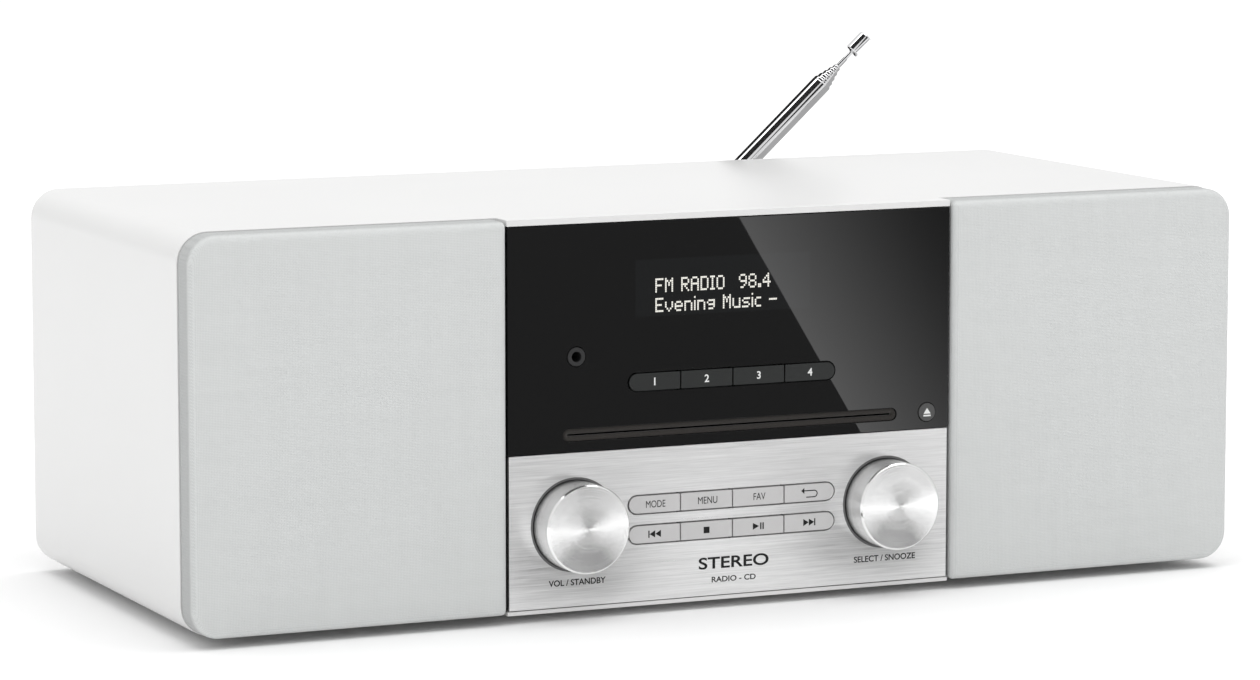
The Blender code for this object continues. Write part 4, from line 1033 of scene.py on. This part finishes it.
def rear():
    """Six screws, the rings of the audio sockets and the printing on the rear panel."""
    inset = 7 * MM
    places = [
        (x, z) for x in (REAR_LOW.x + inset, 0, REAR_HIGH.x - inset)
        for z in (REAR_LOW.z + inset, REAR_HIGH.z - inset)
    ]
    for number, (x, z) in enumerate(places, 1):
        screw(f"rear_screw_{number}", x, z)
    low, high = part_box("audio_socket_block")
    for word, share in (("aux", 0.25), ("line", 0.75)):
        collar(f"{word}_collar", low.x + (high.x - low.x) * share, (low.z + high.z) / 2)
    for name, words, x, z, width in (
        ("label_mains", "AC IN", -150, 44, 13), ("label_line", "LINE OUT", -53.5, 43.5, 13),
        ("label_aux", "AUX IN", -70.5, 43.5, 11), ("label_antenna", "ANTENNA", 39.2, 79.5, 17),
    ):
        lettering(
            name, words, (x * MM, z * MM), 2.2 * MM, REAR_HIGH.y, "grey_ink", "cabinet",
            width * MM, 1,
        )


def collar(name, x, z):
    """A thin metal ring around a round socket in the rear."""
    profile = rounded([
        (0, 1.85 * MM), (0.3 * MM, 1.85 * MM), (0.3 * MM, 3.4 * MM), (0, 3.6 * MM),
    ], 0.12 * MM)
    turned(name, profile, (x, REAR_HIGH.y, z), (0, 1, 0), "plated_steel", "cabinet")


# ---------------------------------------------------------------- object

def radio():
    """All pieces that scene.py makes, and the finish of every CAD node that stays in sight."""
    refined("cabinet_shell", 0.7 * MM, segments=3)
    for word in ("left", "right"):
        grille(word)
    refined("display_window", 0.2 * MM)
    refined("control_panel", 0.12 * MM)
    refined("headphone_socket", 0.15 * MM)
    headphone_collar()
    for node, slot in NODE_SLOT.items():
        if slot in ("preset_key", "control_key", "eject_key"):
            refined(node, 0.25 * MM)
        elif node.startswith("foot_"):
            foot(node)
    for word in KNOBS:
        knob(word)
    slot_lips()
    display_lines()
    cap_icons()
    labels()
    for node in ("rear_panel", "mains_inlet", "audio_socket_block"):
        refined(node, 0.3 * MM)
    swivel()
    antenna()
    rear()
    for node, obj in frame["nodes"].items():
        if not obj.hide_render:
            obj.data.materials.clear()
            obj.data.materials.append(FINISHES[NODE_SLOT[node]].material)


# ---------------------------------------------------------------- studio

VIEW_AZIMUTH = radians(-24.293)
VIEW_ELEVATION = radians(7.37)
VIEW_AIM = Vector((-39.96, -87.1, 96.43)) * MM
VIEW_DISTANCE = 1696.1 * MM
TOWARD_CAMERA = Vector((
    sin(VIEW_AZIMUTH) * cos(VIEW_ELEVATION), -cos(VIEW_AZIMUTH) * cos(VIEW_ELEVATION),
    sin(VIEW_ELEVATION),
))


def camera():
    """The camera, aimed at a point from a distance."""
    lens = bpy.data.cameras.new("camera")
    lens.lens, lens.sensor_width = 141.08, 36
    eye = bpy.data.objects.new("camera", lens)
    bpy.context.scene.collection.objects.link(eye)
    eye.location = VIEW_AIM + TOWARD_CAMERA * VIEW_DISTANCE
    eye.rotation_euler = TOWARD_CAMERA.to_track_quat("Z", "Y").to_euler()
    bpy.context.scene.camera = eye
    return eye


def stage_sheet(name, corners, finish):
    """A flat sheet that isn't part of the object."""
    mesh = bpy.data.meshes.new(name)
    mesh.from_pydata([tuple(corner) for corner in corners], [], [tuple(range(len(corners)))])
    mesh.materials.append(finish.material)
    sheet = bpy.data.objects.new(name, mesh)
    bpy.context.scene.collection.objects.link(sheet)
    return sheet


def card(name, corners, finish):
    """A sheet that shows in reflections only."""
    seen_only_by(stage_sheet(name, corners, finish), "glossy")


def floor():
    """A pale floor with a painted glow that grows far away, so that it meets the white walls."""
    finish = Finish("floor", specular_ior_level=0.0, emission_strength=1.0)
    cloud = finish.noise(1.5, 2)
    x, y, _ = finish.axes()
    far = ((x * x + y * y) ** 0.5 * 0.9 - 0.25).limited()
    finish.feed(
        base_color=finish.tint(cloud, (0.93, 0.93, 0.93), (0.94, 0.94, 0.94)),
        roughness=0.9 + cloud * 0.05,
        # Painted light: the floor glows, faintly near the radio and more far away
        emission_color=finish.tint(far, (0.01, 0.01, 0.01), (0.28, 0.28, 0.28)),
    )
    half = 9
    corners = [(-half, -half, 0), (half, -half, 0), (half, half, 0), (-half, half, 0)]
    stage_sheet("floor", corners, finish)


def backdrop():
    """White walls and a white ceiling that only the camera sees."""
    finish = Finish("backdrop", base_color=(0, 0, 0, 1), emission_strength=1.05)
    cloud = finish.noise(0.5, 1)
    finish.feed(emission_color=finish.tint(cloud, (0.99, 0.99, 0.99), (1, 1, 1)))
    half, height = 8.8, 9
    corners = [(-half, -half), (half, -half), (half, half), (-half, half)]
    for number, (start, end) in enumerate(zip(corners, corners[1:] + corners[:1])):
        wall = [(*start, 0), (*end, 0), (*end, height), (*start, height)]
        seen_only_by(stage_sheet(f"backdrop_{number}", wall, finish), "camera")
    ceiling = stage_sheet("backdrop_ceiling", [(*corner, height) for corner in corners], finish)
    seen_only_by(ceiling, "camera")


def seen_only_by(sheet, seen):
    """Hides a sheet from all kinds of ray but one."""
    for ray in ("camera", "diffuse", "glossy", "transmission", "volume_scatter", "shadow"):
        setattr(sheet, f"visible_{ray}", ray == seen)


def window_card(eye):
    """A dark sheet in front of the radio with a lit part beyond a slanting edge, for the window
    to mirror. A point on the sheet is followed back through the mirrored eye to the window."""
    finish = Finish("window_card", base_color=(0, 0, 0, 1), emission_strength=1.0, roughness=1.0)
    x, y, _ = finish.axes()
    front = WINDOW_LOW.y
    eye_y = 2 * front - eye.y
    share = (front - eye_y) / (y - eye_y)
    window_x = eye.x + (x - eye.x) * share
    window_z = eye.z * (1 - share)
    top, bottom = Vector((1.9, 137.0)) * MM, Vector((49.75, 58.4)) * MM
    slope = (bottom - top).normalized()
    past = (window_x - top.x) * -slope.y + (window_z - top.y) * slope.x
    fade = (1 - past * (1 / (70 * MM))).limited()
    light = (past > 0) * fade ** 1.6
    finish.feed(emission_color=finish.tint(light, (0.2, 0.2, 0.2), (2.05, 2.05, 2.05)))
    card("window_card", lying(-0.6, 1.1, -1.6, -0.4, 1 * MM), finish)


def lying(x0, x1, y0, y1, z):
    """The corners of a level rectangle."""
    return [(x0, y0, z), (x1, y0, z), (x1, y1, z), (x0, y1, z)]


def shining(name, scale, low, high):
    """A finish that only shines, a little unevenly between two greys."""
    finish = Finish(name, base_color=(0, 0, 0, 1), roughness=1.0, emission_strength=1.0)
    cloud = finish.noise(scale, 1)
    return finish.feed(emission_color=finish.tint(cloud, (low,) * 3, (high,) * 3))


def metal_cards():
    """Cards for the metal to mirror. Three are parallel to the antenna, each between two angles
    about it that are counted from the camera, for the chrome's stripes. A high one and two low
    ones stand and lie where the knobs' grooves throw the light up and down, and a bright one
    lies in front of the panel."""
    dark = Finish("dark_card", base_color=(0.01, 0.01, 0.01, 1), roughness=1.0)
    grey = shining("grey_card", 20, 0.4, 0.46)
    facing = (TOWARD_CAMERA - ALONG * ALONG.dot(TOWARD_CAMERA)).normalized()
    upper_left = TOWARD_CAMERA.cross(ALONG).normalized()
    for name, first, last, distance, half, finish in (
        ("side_card", 13, 72, 380 * MM, 190 * MM, dark),
        ("back_card", 82, 200, 10 * MM, 62 * MM, dark),
        ("under_card", -150, -45, 10 * MM, 62 * MM, grey),
    ):
        middle = PIVOT + ALONG * (64 * MM - ALONG.dot(TOWARD_CAMERA) * distance)
        corners = []
        for degrees, ends in ((first, (-1, 1)), (last, (1, -1))):
            away = facing * cos(radians(degrees)) + upper_left * sin(radians(degrees))
            corners += [middle + away * distance + ALONG * (end * half) for end in ends]
        card(name, corners, finish)
    ahead = Vector((-TOWARD_CAMERA.x, TOWARD_CAMERA.y, 0)).normalized()
    across = Vector((-ahead.y, ahead.x, 0))
    base = Vector((0, WINDOW_LOW.y, 0.42)) + ahead * 1.2
    rise, side = Vector((0, 0, 1.3)), across * 0.3
    card("high_card", [base - side, base + side, base + side + rise, base - side + rise], dark)
    bright = shining("bright_card", 9, 1.34, 1.42)
    card("front_card", lying(-0.5, 0.6, -0.39, -0.24, 0.3 * MM), bright)
    for word in KNOBS:
        x, y, _ = middle_of(f"{word}_knob")
        below = Vector((x, y, 0.5 * MM))
        near, away = below + ahead * 0.03, below + ahead * 0.17
        near_side, away_side = across * 0.02, across * 0.034
        card(f"{word}_card", [
            near - near_side, near + near_side, away + away_side, away - away_side,
        ], dark)


def studio():
    """White surroundings, a large soft lamp overhead, the camera and the sheets."""
    scene = bpy.context.scene
    scene.view_settings.view_transform = "Standard"
    world = bpy.data.worlds.new("studio")
    world.use_nodes = True
    world.node_tree.nodes["Background"].inputs["Color"].default_value = (0.8, 0.8, 0.8, 1)
    scene.world = world
    lamp = bpy.data.lights.new("top_light", "AREA")
    lamp.shape, lamp.size, lamp.size_y = "RECTANGLE", 2.4, 1.8
    lamp.energy = 24
    top = bpy.data.objects.new("top_light", lamp)
    scene.collection.objects.link(top)
    top.location = (0.1, -0.1, 1.9)
    eye = camera()
    floor()
    backdrop()
    window_card(eye.location)
    metal_cards()


radio()
studio()
bpy.context.view_layer.update()
